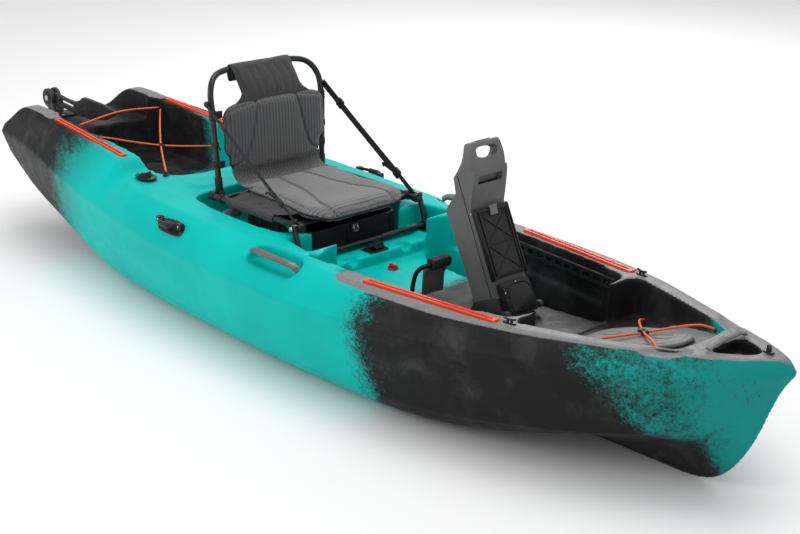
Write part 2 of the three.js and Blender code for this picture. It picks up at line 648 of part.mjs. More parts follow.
function motorPod() {
  const { radius, aft, front, z } = POD;
  const outline = [
    [0, aft], [22, aft], [radius, aft + 26], [radius, front - 50], [radius * 0.8, front - 20],
    [radius * 0.4, front - 3], [0, front],
  ];
  const body = new THREE.LatheGeometry(outline.map(([r, x]) => new THREE.Vector2(r, x)), 24);
  const reach = COLUMN.half + GAP;
  const socket = box(COLUMN.x - reach, COLUMN.x + reach, -17 - GAP, 17 + GAP, COLUMN.bottom - GAP, COLUMN.top);
  return cut(
    solidOf(body.rotateZ(-Math.PI / 2).translate(0, 0, z)),
    solidOf(rod([aft - 5, 0, z], [aft + 30, 0, z], 6.4, 16)),
    solidOf(socket.rotateY(-CONSOLE_LEAN).translate(...CONSOLE_FOOT.toArray())),
  );
}

function propeller() {
  const { x, radius, hub, thick } = PROP;
  const side = [[0, -24], [hub * 0.6, -18], [hub, 0], [hub, thick - 6], [0, thick - 6]];
  const boss = new THREE.LatheGeometry(side.map(([r, h]) => new THREE.Vector2(r, h)), 20).rotateZ(-Math.PI / 2);
  const pitch = 0.62;
  const section = [
    [-3, 10], [3, 10], [2.5, radius - 12], [1.2, radius], [-1.2, radius], [-2.5, radius - 12],
  ];
  const blades = [0, 1].map((i) => solidOf(profile(section, -20, 20).rotateZ(pitch).rotateX(i * Math.PI)));
  const shaft = solidOf(rod([10, 0, 0], [50, 0, 0], 6, 16));
  return join(solidOf(boss), ...blades, shaft).translate([x, 0, POD.z]);
}

const battery = () => solidOf(box(1000, 1150, -62, 62, 62, 196));

// ---------------------------------------------------------------- steering pedals
const PEDAL = { x: 530, y: 116, z: 374, pivotX: 492, pivotZ: 150 };
function pedalArm(side) {
  const { x, y, z, pivotX, pivotZ } = PEDAL;
  const bar = solidOf(tube(
    [
      [pivotX, side * 176, pivotZ], [pivotX + 2, side * 176, 240],
      [502, side * 176, 322], [512, side * 172, 356],
      [x - 3, side * 164, z - 2], [x, side * 150, z], [x, side * 120, z], [x, side * 68.5, z],
    ],
    6.5, 26, 10,
  ));
  const hub = solidOf(rod([pivotX, side * 164, pivotZ], [pivotX, side * 188, pivotZ], 13, 18));
  const tread = solidOf(profile(
    [[x - 24, z - 96], [x - 18, z - 96], [x - 13, z - 24], [x - 13, z - 17], [x - 19, z - 17]],
    side * 109 - 40, side * 109 + 40,
  ));
  const ribs = [71.5, 146].map((y) => solidOf(profile(
    [[x - 19, z - 40], [x - 13, z - 40], [x + 3, z - 3], [x - 3, z + 3], [x - 19, z - 17]],
    side * y - 2.5, side * y + 2.5,
  )));
  const bore = rod([pivotX, side * 150, pivotZ], [pivotX, side * 200, pivotZ], 5.4, 14);
  return cut(join(bar, hub, tread, ...ribs), solidOf(bore));
}
function pedalFoot(side) {
  const { pivotX, pivotZ } = PEDAL;
  const low = FOOTWELL_FLOOR + GAP;
  const middle = side * 176;
  const outline = [
    [pivotX - 22, low + 2], [pivotX + 22, low + 2], [pivotX + 9, pivotZ + 9], [pivotX - 9, pivotZ + 9],
  ];
  const cheeks = [middle - 16, middle + 16].map((y) => solidOf(profile(outline, y - 3.2, y + 3.2)));
  const foot = solidOf(box(pivotX - 30, pivotX + 30, middle - 26, middle + 26, low, low + 5));
  const pin = solidOf(rod([pivotX, middle - 18, pivotZ], [pivotX, middle + 18, pivotZ], 5, 14));
  return join(foot, ...cheeks, pin);
}
const pedalPad = (side) => {
  const { x, z } = PEDAL;
  const bore = solidOf(rod([x, side * 60, z], [x, side * 170, z], 8.2, 14));
  const outline = [[x - 14, z - 12], [x + 15, z - 16], [x + 18, z + 15], [x - 12, z + 18]];
  return cut(solidOf(profile(outline, side * 107 - 33, side * 107 + 33)), bore);
};

// ---------------------------------------------------------------- seat
const seatBase = () => {
  const { pivotX, pivotY, railZ, backX, tube: r } = SEAT;
  const rails = [-pivotY, pivotY].map((y) => solidOf(rod([backX - 8, y, railZ], [pivotX + 12, y, railZ], r)));
  const cross = [-298, 48].map((x) => solidOf(rod([x, -pivotY, railZ - 2], [x, pivotY, railZ - 2], r - 1.5)));
  return join(...rails, ...cross);
};

const seatLegs = () => {
  const { pivotX, pivotY } = SEAT;
  const y = pivotY + 21;
  const legs = [-1, 1].flatMap((side) => [
    solidOf(rod([pivotX + 3, side * y, 394], [111, side * y, 302], 8.5)),
    solidOf(rod([pivotX, side * (y - 9), 387], [pivotX, side * (y + 9), 387], 12, 16)),
  ]);
  return join(solidOf(rod([111, -y - 7, 302], [111, y + 7, 302], 10)), ...legs);
};

const seatHoop = () => {
  const x = SEAT.backX;
  const half = [
    [x, -206, 390], [x - 4, -212, 520], [x - 10, -216, 640], [x - 24, -211, 706], [x - 42, -184, 744],
    [x - 56, -134, 757],
  ];
  return solidOf(tube([...half, ...half.map(([a, y, z]) => [a, -y, z]).reverse()], 9.5, 56, 10));
};

const seatPan = () => {
  const side = [
    [-268, 398], [98, 398], [116, 378], [124, 384], [120, 408], [100, 420], [-20, 424], [-268, 432],
  ];
  return profile(side, -190, 190);
};
const seatBack = () => {
  const side = [[-327, 452], [-301, 452], [-303, 560], [-308, 668], [-334, 668], [-328.5, 560]];
  return profile(side, -200, 200);
};
const headrest = () => {
  const side = [
    [-334, 669], [-308, 669], [-322, 708], [-350, 754], [-362, 779], [-386, 777], [-378, 750], [-350, 708],
  ];
  return profile(side, -120, 120);
};

const backStrap = (side) => {
  const path = [[-362, 672], [-352, 674], [66, 404], [56, 400]];
  const [near, far] = [side * 231, side * 235].sort((a, b) => a - b);
  return solidOf(profile(path, near, far));
};

const BIN = { aft: -250, front: 56, half: 168, low: 232, high: 350, wall: 4 };
const storageBin = () => {
  const { aft, front, half, low, high, wall } = BIN;
  return cut(
    solidOf(box(aft, front, -half, half, low, high)),
    solidOf(box(aft + wall, front - wall, -half + wall, half - wall, low + wall, high + 10)),
  );
};
const binLatch = () => {
  const x = BIN.front + GAP;
  const hinge = rod([x + 5, -11, 343], [x + 5, 11, 343], 3.5, 10);
  return join(solidOf(box(x, x + 5, -11, 11, 322, 345)), solidOf(hinge));
};

// ---------------------------------------------------------------- assembly
const boat = new THREE.Group();
const consoleGroup = new THREE.Group();
consoleGroup.position.copy(CONSOLE_FOOT);
consoleGroup.rotation.y = -CONSOLE_LEAN;
boat.add(consoleGroup);

function put(name, shape, colour, parent = boat) {
  const [color, roughness, metalness] = COLOURS[colour];
  const geometry = shape.isBufferGeometry ? shape : geometryOf(shape);
  const mesh = new THREE.Mesh(geometry, new THREE.MeshStandardMaterial({ color, roughness, metalness }));
  mesh.name = name;
  parent.add(mesh);
}

function putPair(name, make, colour) {
  put(`${name}_starboard`, make(-1), colour);
  put(`${name}_port`, make(1), colour);
}

put("hull", hull(), "hull");
for (const track of TRACKS) put(track.name, gearTrack(track), "orange");
put("hatch_rim", hatchRim(), "dark");
put("hatch_lid", hatchLid(), "pale");
put("bow_grip", bowGrip(), "grey");
put("bow_eyelet", padEye(1522, 0, 390, 20), "black");
putPair("foot_rail", footRail, "black");
putPair("rod_holder", rodHolder, "black");
putPair("side_grip", sideGrip, "dark");
putPair("carry_bracket", carryBracket, "black");
putPair("carry_bail", carryBail, "black");
put("tank_well_mat", tankMat(), "dark");
put("rudder_bungee", rudderBungee(), "orange");
put("tank_well_bungee", tankBungee(), "orange");
put("bow_bungee", bowBungee(), "orange");
put("drain_plug", drainPlug(), "red");
put("step_latch_base", stepLatchBase(), "black");
put("step_latch_lever", stepLatchLever(), "black");

put("rudder_bracket", rudderBracket(), "black");
put("rudder_yoke", rudderYoke(), "dark");
put("rudder_steer_pin", steerPin(), "steel");
put("rudder_hub_pin", hubPin(), "steel");
put("rudder_blade", rudderBlade(), "black");

put("console_rear_shell", consoleRear(), "grey", consoleGroup);
put("console_front_shell", consoleFront(), "grey", consoleGroup);
put("console_handle", consoleHandle(), "grey", consoleGroup);
put("console_cover", consoleCover(), "black", consoleGroup);
put("console_cover_latch", coverLatch(), "black", consoleGroup);
put("console_foot_box", consoleFootBox(), "black", consoleGroup);
put("console_base", consoleBase(), "dark", consoleGroup);
put("speed_knob", speedKnob(), "black", consoleGroup);
put("drive_column", driveColumn(), "steel", consoleGroup);
put("motor_pod", motorPod(), "black");
put("propeller", propeller(), "black");
put("battery_pack", battery(), "black");

putPair("pedal_foot", pedalFoot, "black");
putPair("pedal_arm", pedalArm, "dark");
putPair("pedal_pad", pedalPad, "black");

put("seat_base_frame", seatBase(), "tube");
put("seat_legs", seatLegs(), "tube");
put("seat_back_hoop", seatHoop(), "tube");
put("seat_pan_cushion", seatPan(), "fabric");
put("seat_back_cushion", seatBack(), "fabric");
put("headrest_pad", headrest(), "fabric");
putPair("back_strap", backStrap, "webbing");
put("storage_bin", storageBin(), "black");
put("bin_latch", binLatch(), "steel");

export default boat;
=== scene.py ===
import math

import bmesh
import bpy
import numpy as np
from mathutils import Matrix, Vector
from mathutils.bvhtree import BVHTree


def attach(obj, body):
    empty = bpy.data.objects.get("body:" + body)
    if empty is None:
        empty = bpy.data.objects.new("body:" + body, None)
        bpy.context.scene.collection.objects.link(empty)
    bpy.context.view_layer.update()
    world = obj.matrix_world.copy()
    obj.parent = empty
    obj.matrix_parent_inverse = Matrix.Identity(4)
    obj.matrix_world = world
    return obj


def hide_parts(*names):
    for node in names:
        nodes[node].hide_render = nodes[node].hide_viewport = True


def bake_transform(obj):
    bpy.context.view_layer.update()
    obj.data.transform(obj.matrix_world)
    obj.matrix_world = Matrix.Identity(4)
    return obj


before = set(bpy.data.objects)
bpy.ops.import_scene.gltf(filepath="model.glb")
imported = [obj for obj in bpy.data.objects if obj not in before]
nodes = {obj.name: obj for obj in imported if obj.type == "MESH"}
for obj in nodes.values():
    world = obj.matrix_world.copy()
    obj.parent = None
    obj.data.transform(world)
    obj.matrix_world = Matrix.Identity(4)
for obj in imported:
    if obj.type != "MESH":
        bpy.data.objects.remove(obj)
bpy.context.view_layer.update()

# Everything below is written in millimetres in the part's own frame and scaled by MM.
MM = 0.001
SIDES = (("starboard", -1), ("port", 1))
TURN = 2 * math.pi

# The camera fitted to the photograph: place in metres, angles in degrees, lens in millimetres.
CAMERA_PLACE = (3.2786, -2.8418, 1.7681)
CAMERA_ANGLES = (46.717, 19.983, 0.603)
CAMERA_LENS = 67.43


# ------------------------------------------------------------------ camera, light and floor
def make_camera():
    azimuth, elevation, roll = (math.radians(a) for a in CAMERA_ANGLES)
    level = math.cos(elevation)
    back = Vector((math.sin(azimuth) * level, -math.cos(azimuth) * level, math.sin(elevation)))
    right = Vector((0, 0, 1)).cross(back).normalized()
    up = back.cross(right)
    right_rolled = right * math.cos(roll) + up * math.sin(roll)
    up_rolled = up * math.cos(roll) - right * math.sin(roll)
    turn = Matrix((right_rolled, up_rolled, back)).transposed().to_4x4()
    camera = bpy.data.objects.new("camera", bpy.data.cameras.new("camera"))
    camera.data.sensor_width = 36
    camera.data.lens = CAMERA_LENS
    camera.data.clip_end = 60
    camera.matrix_world = Matrix.Translation(CAMERA_PLACE) @ turn
    bpy.context.scene.collection.objects.link(camera)
    bpy.context.scene.camera = camera


def area_light(name, place, target, size, power):
    data = bpy.data.lights.new(name, "AREA")
    data.energy, data.size = power, size
    lamp = bpy.data.objects.new(name, data)
    lamp.location = place
    lamp.rotation_euler = (Vector(target) - Vector(place)).to_track_quat("-Z", "Y").to_euler()
    bpy.context.scene.collection.objects.link(lamp)


def make_studio():
    world = bpy.data.worlds.new("studio")
    world.use_nodes = True
    sky = world.node_tree.nodes["Background"].inputs
    sky["Color"].default_value, sky["Strength"].default_value = (1, 1, 1, 1), 0.72
    bpy.context.scene.world = world
    area_light("overhead", (0.2, 0.3, 4.2), (0, 0, 0), 3.0, 74)
    area_light("front_left", (-1.5, -4.5, 2.6), (0, 0, 0.3), 1.8, 44)
    area_light("behind", (-2.5, 4.2, 3.0), (0, 0, 0.4), 1.5, 62)
    bpy.ops.mesh.primitive_plane_add(size=60, location=(0, 0, -0.001))
    floor = bpy.context.object
    floor.name = "floor"
    floor.data.materials.append(Shader("floor", (0.93, 0.93, 0.93), 0.8).material)
    bpy.context.scene.view_settings.view_transform = "Standard"


# ------------------------------------------------------------------ materials
def toned(colour, factor, lift=0.0):
    return tuple(min(1, c * factor + lift) for c in colour)


class Shader:
    """A principled material, with short ways to add noise, mixing and bump nodes."""

    def __init__(self, name, colour, roughness, metallic=0.0):
        self.material = bpy.data.materials.new(name)
        self.material.use_nodes = True
        self.tree = self.material.node_tree
        self.out = self.tree.nodes["Principled BSDF"]
        self.set("Base Color", (*colour, 1))
        self.set("Roughness", roughness)
        self.set("Metallic", metallic)
        self.coords = self.add("ShaderNodeTexCoord").outputs["Object"]
        self.material.diffuse_color = (*colour, 1)

    def add(self, kind, **values):
        node = self.tree.nodes.new(kind)
        for key, value in values.items():
            setattr(node, key, value)
        return node

    def plug(self, node, key, value):
        if isinstance(value, bpy.types.NodeSocket):
            self.tree.links.new(value, node.inputs[key])
        else:
            node.inputs[key].default_value = value

    def fill(self, node, values):
        for key, value in values.items():
            self.plug(node, key, value)

    def set(self, key, value):
        self.plug(self.out, key, value)

    def noise(self, scale, detail=3.0, roughness=0.55, coords=None, distortion=0.0):
        node = self.add("ShaderNodeTexNoise")
        values = {"Vector": coords or self.coords, "Scale": scale, "Detail": detail}
        self.fill(node, {**values, "Roughness": roughness, "Distortion": distortion})
        return node.outputs["Fac"]

    def maths(self, operation, a, b=0.0, c=0.0):
        node = self.add("ShaderNodeMath", operation=operation)
        self.fill(node, {0: a, 1: b, 2: c})
        return node.outputs[0]

    def ramp(self, value, low, high, out_low=0.0, out_high=1.0):
        node = self.add("ShaderNodeMapRange", interpolation_type="SMOOTHSTEP")
        limits = {"From Min": low, "From Max": high, "To Min": out_low, "To Max": out_high}
        self.fill(node, {"Value": value, **limits})
        return node.outputs[0]

    def mix(self, factor, a, b):
        node = self.add("ShaderNodeMix", data_type="RGBA")
        self.plug(node, 0, factor)
        for key, value in ((6, a), (7, b)):
            self.plug(node, key, (*value, 1) if isinstance(value, tuple) else value)
        return node.outputs[2]

    def attribute(self, name):
        return self.add("ShaderNodeAttribute", attribute_name=name).outputs["Fac"]

    def stretched(self, scale):
        node = self.add("ShaderNodeMapping")
        self.fill(node, {"Vector": self.coords, "Scale": scale})
        return node.outputs[0]

    def axes(self):
        node = self.add("ShaderNodeSeparateXYZ")
        self.plug(node, "Vector", self.coords)
        return node.outputs

    def bump(self, *layers):
        """Each layer is (height, distance in millimetres)."""
        normal = None
        for height, distance in layers:
            node = self.add("ShaderNodeBump")
            self.fill(node, {"Height": height, "Distance": distance * MM})
            if normal:
                self.plug(node, "Normal", normal)
            normal = node.outputs[0]
        self.set("Normal", normal)
        return self


def moulded(name, colour, roughness, grain=2600, depth=0.06, spread=0.12):
    """Moulded plastic: fine spark-eroded grain, slight colour drift and scuffed gloss."""
    s = Shader(name, colour, roughness)
    drift = s.ramp(s.noise(14, 4), 0.3, 0.7)
    s.set("Base Color", s.mix(drift, toned(colour, 1 - spread), toned(colour, 1 + spread, 0.004)))
    s.set("Roughness", s.ramp(s.noise(55, 5), 0.25, 0.8, roughness - 0.07, roughness + 0.09))
    s.set("Specular IOR Level", 0.3)
    return s.bump((s.noise(grain, 2), depth), (s.noise(160, 3), depth * 1.5)).material


def anodised(name, colour, roughness, metallic):
    """Drawn metal or painted tube: faint streaks and a light bump along its length."""
    s = Shader(name, colour, roughness, metallic)
    streaks = s.noise(60, 4, coords=s.stretched((1, 9, 9)))
    s.set("Roughness", s.ramp(streaks, 0.3, 0.75, roughness - 0.06, roughness + 0.12))
    s.set("Base Color", s.mix(s.ramp(s.noise(30), 0.3, 0.7), colour, toned(colour, 1.35)))
    return s.bump((s.noise(900, 2, coords=s.stretched((1, 6, 6))), 0.02)).material


def woven(name, colour, across, along, pitch=12.0, thread=5.6, sheen=0.3):
    """Herringbone cloth, lighter on its ribs and darker in its grooves as painted highlight and painted shade. across
    and along are the object axes that the rows and columns follow.
    """
    s = Shader(name, colour, 0.85)
    axes = s.axes()
    u = s.maths("DIVIDE", axes[across], pitch * MM)
    fold = s.maths("PINGPONG", u, 1.0)
    v = s.maths("DIVIDE", axes[along], thread * MM)
    rows = s.maths("FRACT", s.maths("ADD", v, s.maths("MULTIPLY", fold, 1.25)))
    rib = s.maths("SINE", s.maths("MULTIPLY", rows, math.pi))
    seam = s.maths("SINE", s.maths("MULTIPLY", s.maths("FRACT", u), math.pi))
    height = s.maths("MULTIPLY", s.maths("POWER", rib, 0.6), s.maths("POWER", seam, 0.3))
    speck = s.noise(700, 3)
    # painted shade in the weave's grooves and painted highlight on its ribs
    weave_light_and_shade = s.mix(s.ramp(height, 0.2, 1.0), toned(colour, 0.3), toned(colour, 2.3))
    wide = s.ramp(s.noise(9, 3), 0.3, 0.7, 0.0, 0.35)
    s.set("Base Color", s.mix(wide, weave_light_and_shade, colour))
    s.set("Sheen Weight", sheen)
    s.set("Sheen Roughness", 0.5)
    return s.bump((height, 0.5), (speck, 0.12)).material


def webbing(name, colour):
    """Tape of fine diagonal bands."""
    s = Shader(name, colour, 0.75)
    wave = s.add("ShaderNodeTexWave", wave_type="BANDS", bands_direction="DIAGONAL")
    s.fill(wave, {"Scale": 900.0, "Vector": s.coords})
    weave = wave.outputs["Fac"]
    s.set("Base Color", s.mix(weave, toned(colour, 0.5), toned(colour, 1.6)))
    s.set("Sheen Weight", 0.04)
    return s.bump((weave, 0.15)).material


def braided(name, colour, fleck):
    """Shock cord: a braided cover with flecks of a second colour."""
    s = Shader(name, colour, 0.6)
    weave = s.noise(1100, 2, coords=s.stretched((1, 2.4, 2.4)))
    s.set("Base Color", s.mix(s.ramp(weave, 0.45, 0.75), colour, fleck))
    return s.bump((weave, 0.35)).material


TEAL = (0.0, 0.53, 0.48)
# deeper teal: the stern's own tone, and painted shade towards the bow and inside the cockpit
TEAL_DEEP_AND_SHADE = (0.012, 0.15, 0.14)
CHARCOAL = (0.016, 0.016, 0.016)
ASH = (0.05, 0.05, 0.052)
PALE_GREY = (0.235, 0.235, 0.237)


def marbled_hull():
    """Two-colour rotomoulded plastic: the share of each colour comes from the mesh, the marbling from noise. The deeper
    teal, also from the mesh, is partly the plastic's own tone and partly painted shade.
    """
    s = Shader("hull_marbled", TEAL, 0.42)
    dark, pale, deep_teal_and_shade = (s.attribute(name) for name in ("dark", "pale", "deep_teal_and_shade"))
    swirl = s.noise(4.2, 8, 0.66, distortion=0.9)
    speckle = s.noise(75, 7, 0.85)
    flecks = s.noise(330, 4, 0.8)
    marbling = s.maths("ADD", s.maths("MULTIPLY", swirl, 0.85), s.maths("MULTIPLY", speckle, 0.95))
    marbling = s.maths("ADD", marbling, s.maths("MULTIPLY", flecks, 0.6))
    share = s.maths("SUBTRACT", s.maths("ADD", dark, marbling), 1.2)
    mask = s.ramp(share, 0.34, 0.7)
    clouds = s.ramp(s.noise(9, 7, 0.66, distortion=0.5), 0.45, 0.8)
    darks = s.mix(clouds, CHARCOAL, ASH)
    teal = s.mix(s.ramp(s.noise(3.2, 4), 0.3, 0.7), TEAL, toned(TEAL, 0.86))
    # deeper teal mixed in: the stern's own tone plus painted shade towards the bow and inside the cockpit
    teal = s.mix(deep_teal_and_shade, teal, TEAL_DEEP_AND_SHADE)
    colour = s.mix(mask, teal, darks)
    grain = s.ramp(s.noise(90, 5, 0.7), 0.3, 0.75)
    greys = s.mix(grain, toned(PALE_GREY, 0.8), PALE_GREY)
    edge = s.maths("ADD", pale, s.maths("MULTIPLY", s.maths("SUBTRACT", speckle, 0.5), 0.35))
    s.set("Base Color", s.mix(s.ramp(edge, 0.4, 0.6), colour, greys))
    s.set("Roughness", s.ramp(s.noise(26, 5), 0.25, 0.8, 0.33, 0.5))
    s.set("Specular IOR Level", 0.07)
    return s.bump((s.noise(2200, 2), 0.06), (s.noise(70, 4), 0.22)).material


# ------------------------------------------------------------------ mesh helpers
def smoothed(mesh, angle):
    """Smooth shading, with the edges sharper than angle left sharp."""
    mesh.polygons.foreach_set("use_smooth", [True] * len(mesh.polygons))
    if angle:
        mesh.set_sharp_from_angle(angle=math.radians(angle))


def with_bmesh(mesh, *steps):
    """Runs bmesh steps on a mesh, then turns its faces outwards."""
    bm = bmesh.new()
    bm.from_mesh(mesh)
    for step in steps:
        step(bm)
    bmesh.ops.recalc_face_normals(bm, faces=bm.faces)
    bm.to_mesh(mesh)
    bm.free()


def mesh_object(name, verts, faces, smooth=40):
    mesh = bpy.data.meshes.new(name)
    mesh.from_pydata([tuple(c * MM for c in v) for v in verts], [], faces)
    made = bpy.data.objects.new(name, mesh)
    bpy.context.scene.collection.objects.link(made)
    with_bmesh(mesh)
    if smooth:
        smoothed(mesh, smooth)
    return made


def painted(piece, material):
    piece.data.materials.clear()
    piece.data.materials.append(material)
    return piece


def finished(piece, material, body, stands_for=()):
    """The piece with its material, riding a body, in place of the CAD nodes it stands for."""
    painted(piece, material)
    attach(piece, body)
    if stands_for:
        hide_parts(*stands_for)
    return piece


def baked(piece, smooth=40):
    """The piece with its modifiers turned into plain mesh."""
    deps = bpy.context.evaluated_depsgraph_get()
    mesh = bpy.data.meshes.new_from_object(piece.evaluated_get(deps))
    piece.modifiers.clear()
    old, piece.data = piece.data, mesh
    bpy.data.meshes.remove(old)
    smoothed(mesh, smooth)
    return piece


def bevelled(piece, width, segments, angle=30):
    """The piece with its edges eased."""
    bevel = piece.modifiers.new("bevel", "BEVEL")
    bevel.width, bevel.segments = width * MM, segments
    bevel.limit_method, bevel.angle_limit = "ANGLE", math.radians(angle)
    bevel.use_clamp_overlap = True
    return baked(piece)


def skin(rings):
    """Verts and faces of a skin through rings with the same number of points, capped at both ends."""
    n = len(rings[0])
    verts = [p for ring in rings for p in ring]
    faces = []
    for r in range(len(rings) - 1):
        for i in range(n):
            j = (i + 1) % n
            faces.append((r * n + i, r * n + j, (r + 1) * n + j, (r + 1) * n + i))
    faces += [tuple(reversed(range(n))), tuple(range((len(rings) - 1) * n, len(rings) * n))]
    return verts, faces


def prism(outline, low, high, plane="xy", draft=0.0):
    """An outline raised from low to high. draft moves the high ring outwards."""
    top = grown(outline, draft) if draft else outline
    place = {
        "xy": lambda a, b, c: (a, b, c),
        "xz": lambda a, b, c: (a, c, b),
        "yz": lambda a, b, c: (c, a, b),
    }[plane]
    return skin([[place(a, b, low) for a, b in outline], [place(a, b, high) for a, b in top]])


def rect(a, b):
    """A rectangle of half sizes a and b about the origin."""
    return [(-a, -b), (a, -b), (a, b), (-a, b)]


def span(s, a, b):
    """The low and high ends of a stretch from a to b, mirrored to side s."""
    return sorted((s * a, s * b))


def rounded(outline, passes=2, cut=0.22):
    """Corners cut off a closed outline, again and again, until they are round."""
    for _ in range(passes):
        made = []
        for i, (x, y) in enumerate(outline):
            x2, y2 = outline[(i + 1) % len(outline)]
            made.append((x + (x2 - x) * cut, y + (y2 - y) * cut))
            made.append((x + (x2 - x) * (1 - cut), y + (y2 - y) * (1 - cut)))
        outline = made
    return outline


def grown(outline, d):
    """A closed outline moved outwards by d."""
    pts = np.array(outline, float)
    area = np.sum(pts[:, 0] * np.roll(pts[:, 1], -1) - np.roll(pts[:, 0], -1) * pts[:, 1])
    before = pts - np.roll(pts, 1, 0)
    after = np.roll(pts, -1, 0) - pts
    before /= np.linalg.norm(before, axis=1)[:, None]
    after /= np.linalg.norm(after, axis=1)[:, None]
    out = np.stack([before[:, 1] + after[:, 1], -before[:, 0] - after[:, 0]], 1) * np.sign(area)
    reach = d / np.maximum(0.35, 0.5 * (out**2).sum(1))
    return [p for p in pts + out * reach[:, None]]


def mirrored(points):
    return [*points, *[(x, -y) for x, y in reversed(points)]]


def curve_points(points, per=8):
    """Points along a centripetal Catmull-Rom curve."""
    pts = [Vector(p) for p in points]
    pts = [pts[0] * 2 - pts[1], *pts, pts[-1] * 2 - pts[-2]]
    made = []
    for i in range(1, len(pts) - 2):
        p0, p1, p2, p3 = pts[i - 1 : i + 3]
        t0 = 0.0
        t1 = t0 + max((p1 - p0).length, 1e-6) ** 0.5
        t2 = t1 + max((p2 - p1).length, 1e-6) ** 0.5
        t3 = t2 + max((p3 - p2).length, 1e-6) ** 0.5
        for k in range(per):
            t = t1 + (t2 - t1) * k / per
            a1 = p0 * ((t1 - t) / (t1 - t0)) + p1 * ((t - t0) / (t1 - t0))
            a2 = p1 * ((t2 - t) / (t2 - t1)) + p2 * ((t - t1) / (t2 - t1))
            a3 = p2 * ((t3 - t) / (t3 - t2)) + p3 * ((t - t2) / (t3 - t2))
            b1 = a1 * ((t2 - t) / (t2 - t0)) + a2 * ((t - t0) / (t2 - t0))
            b2 = a2 * ((t3 - t) / (t3 - t1)) + a3 * ((t - t1) / (t3 - t1))
            made.append(b1 * ((t2 - t) / (t2 - t1)) + b2 * ((t - t1) / (t2 - t1)))
    made.append(pts[-2])
    return made


def swept(points, section, per=8, straight=False):
    """Verts and faces of a section of (side, up) points carried along a curve, capped at both ends."""
    path = [Vector(p) for p in points] if straight else curve_points(points, per)
    tangent = (path[1] - path[0]).normalized()
    guide = Vector((0, 0, 1))
    if abs(guide.dot(tangent)) > 0.95:
        guide = Vector((1, 0, 0)) if abs(tangent.x) < 0.9 else Vector((0, 1, 0))
    side = tangent.cross(guide).normalized()
    rings = []
    for i, p in enumerate(path):
        tangent = (path[min(i + 1, len(path) - 1)] - path[max(i - 1, 0)]).normalized()
        side = (side - tangent * side.dot(tangent)).normalized()
        above = side.cross(tangent)
        rings.append([p + side * a + above * b for a, b in section])
    return skin(rings)


def ellipse(a, b, count, x=0.0, y=0.0):
    """Points round an ellipse of half sizes a and b about (x, y)."""
    return [(x + a * math.cos(TURN * i / count), y + b * math.sin(TURN * i / count)) for i in range(count)]


def circle(radius, count=20):
    return ellipse(radius, radius, count)


def turned(name, profile, start, height, count):
    """A body turned about a line along X at a height: profile is a list of (radius, distance from start)."""
    rings = [[(start + x, y, z) for y, z in ellipse(r, r, count, 0, height)] for r, x in profile]
    return mesh_object(name, *skin(rings), smooth=40)


def pipe(name, points, radius, count=20, per=8, straight=False):
    """A round bar along a curve, or from point to point."""
    return mesh_object(name, *swept(points, circle(radius, count), per, straight), smooth=50)


def frame_of(normal):
    """The unit normal and two directions square to it."""
    n = Vector(normal).normalized()
    a = n.orthogonal().normalized()
    return n, a, n.cross(a)


def disc(name, centre, normal, radius, thickness, count, bevel=0.0):
    """A round boss from centre along normal, with its far edge eased by bevel."""
    c, (n, a, b) = Vector(centre), frame_of(normal)
    steps = [(0, 1.0), (thickness - bevel, 1.0)]
    if bevel:
        steps += [(thickness - bevel * 0.3, 1.0 - bevel * 0.3 / radius), (thickness, 1.0 - bevel / radius)]
    rings = [[c + n * h + a * x * k + b * y * k for x, y in circle(radius, count)] for h, k in steps]
    return mesh_object(name, *skin(rings), smooth=35)


def merged(name, parts):
    """Several pieces of one material as one piece."""
    for o in bpy.context.selected_objects:
        o.select_set(False)
    for o in parts:
        o.select_set(True)
    bpy.context.view_layer.objects.active = parts[0]
    bpy.ops.object.join()
    parts[0].name = name
    parts[0].data.name = name
    return parts[0]


def boolean(piece, cutters, operation="DIFFERENCE"):
    for i, cutter in enumerate(cutters):
        step = piece.modifiers.new(f"cut{i}", "BOOLEAN")
        step.operation, step.object, step.solver = operation, cutter, "MANIFOLD"
    return piece


def discard(objects):
    for o in objects:
        bpy.data.objects.remove(o)


def carved(piece, cutters, smooth):
    """The piece with the cutters taken out of it."""
    baked(boolean(piece, cutters), smooth)
    discard(cutters)
    return piece


def vertex_values(piece, key="co"):
    """The vertices' places, or another value of three numbers, one row each."""
    values = np.zeros(len(piece.data.vertices) * 3)
    piece.data.vertices.foreach_get(key, values)
    return values.reshape(-1, 3)


def set_coordinates(piece, co):
    piece.data.vertices.foreach_set("co", co.ravel())
    piece.data.update()


def smoothstep(low, high, x):
    t = np.clip((x - low) / (high - low), 0, 1)
    return t * t * (3 - 2 * t)


def fade(low, high, x):
    return 1 - smoothstep(low, high, x)


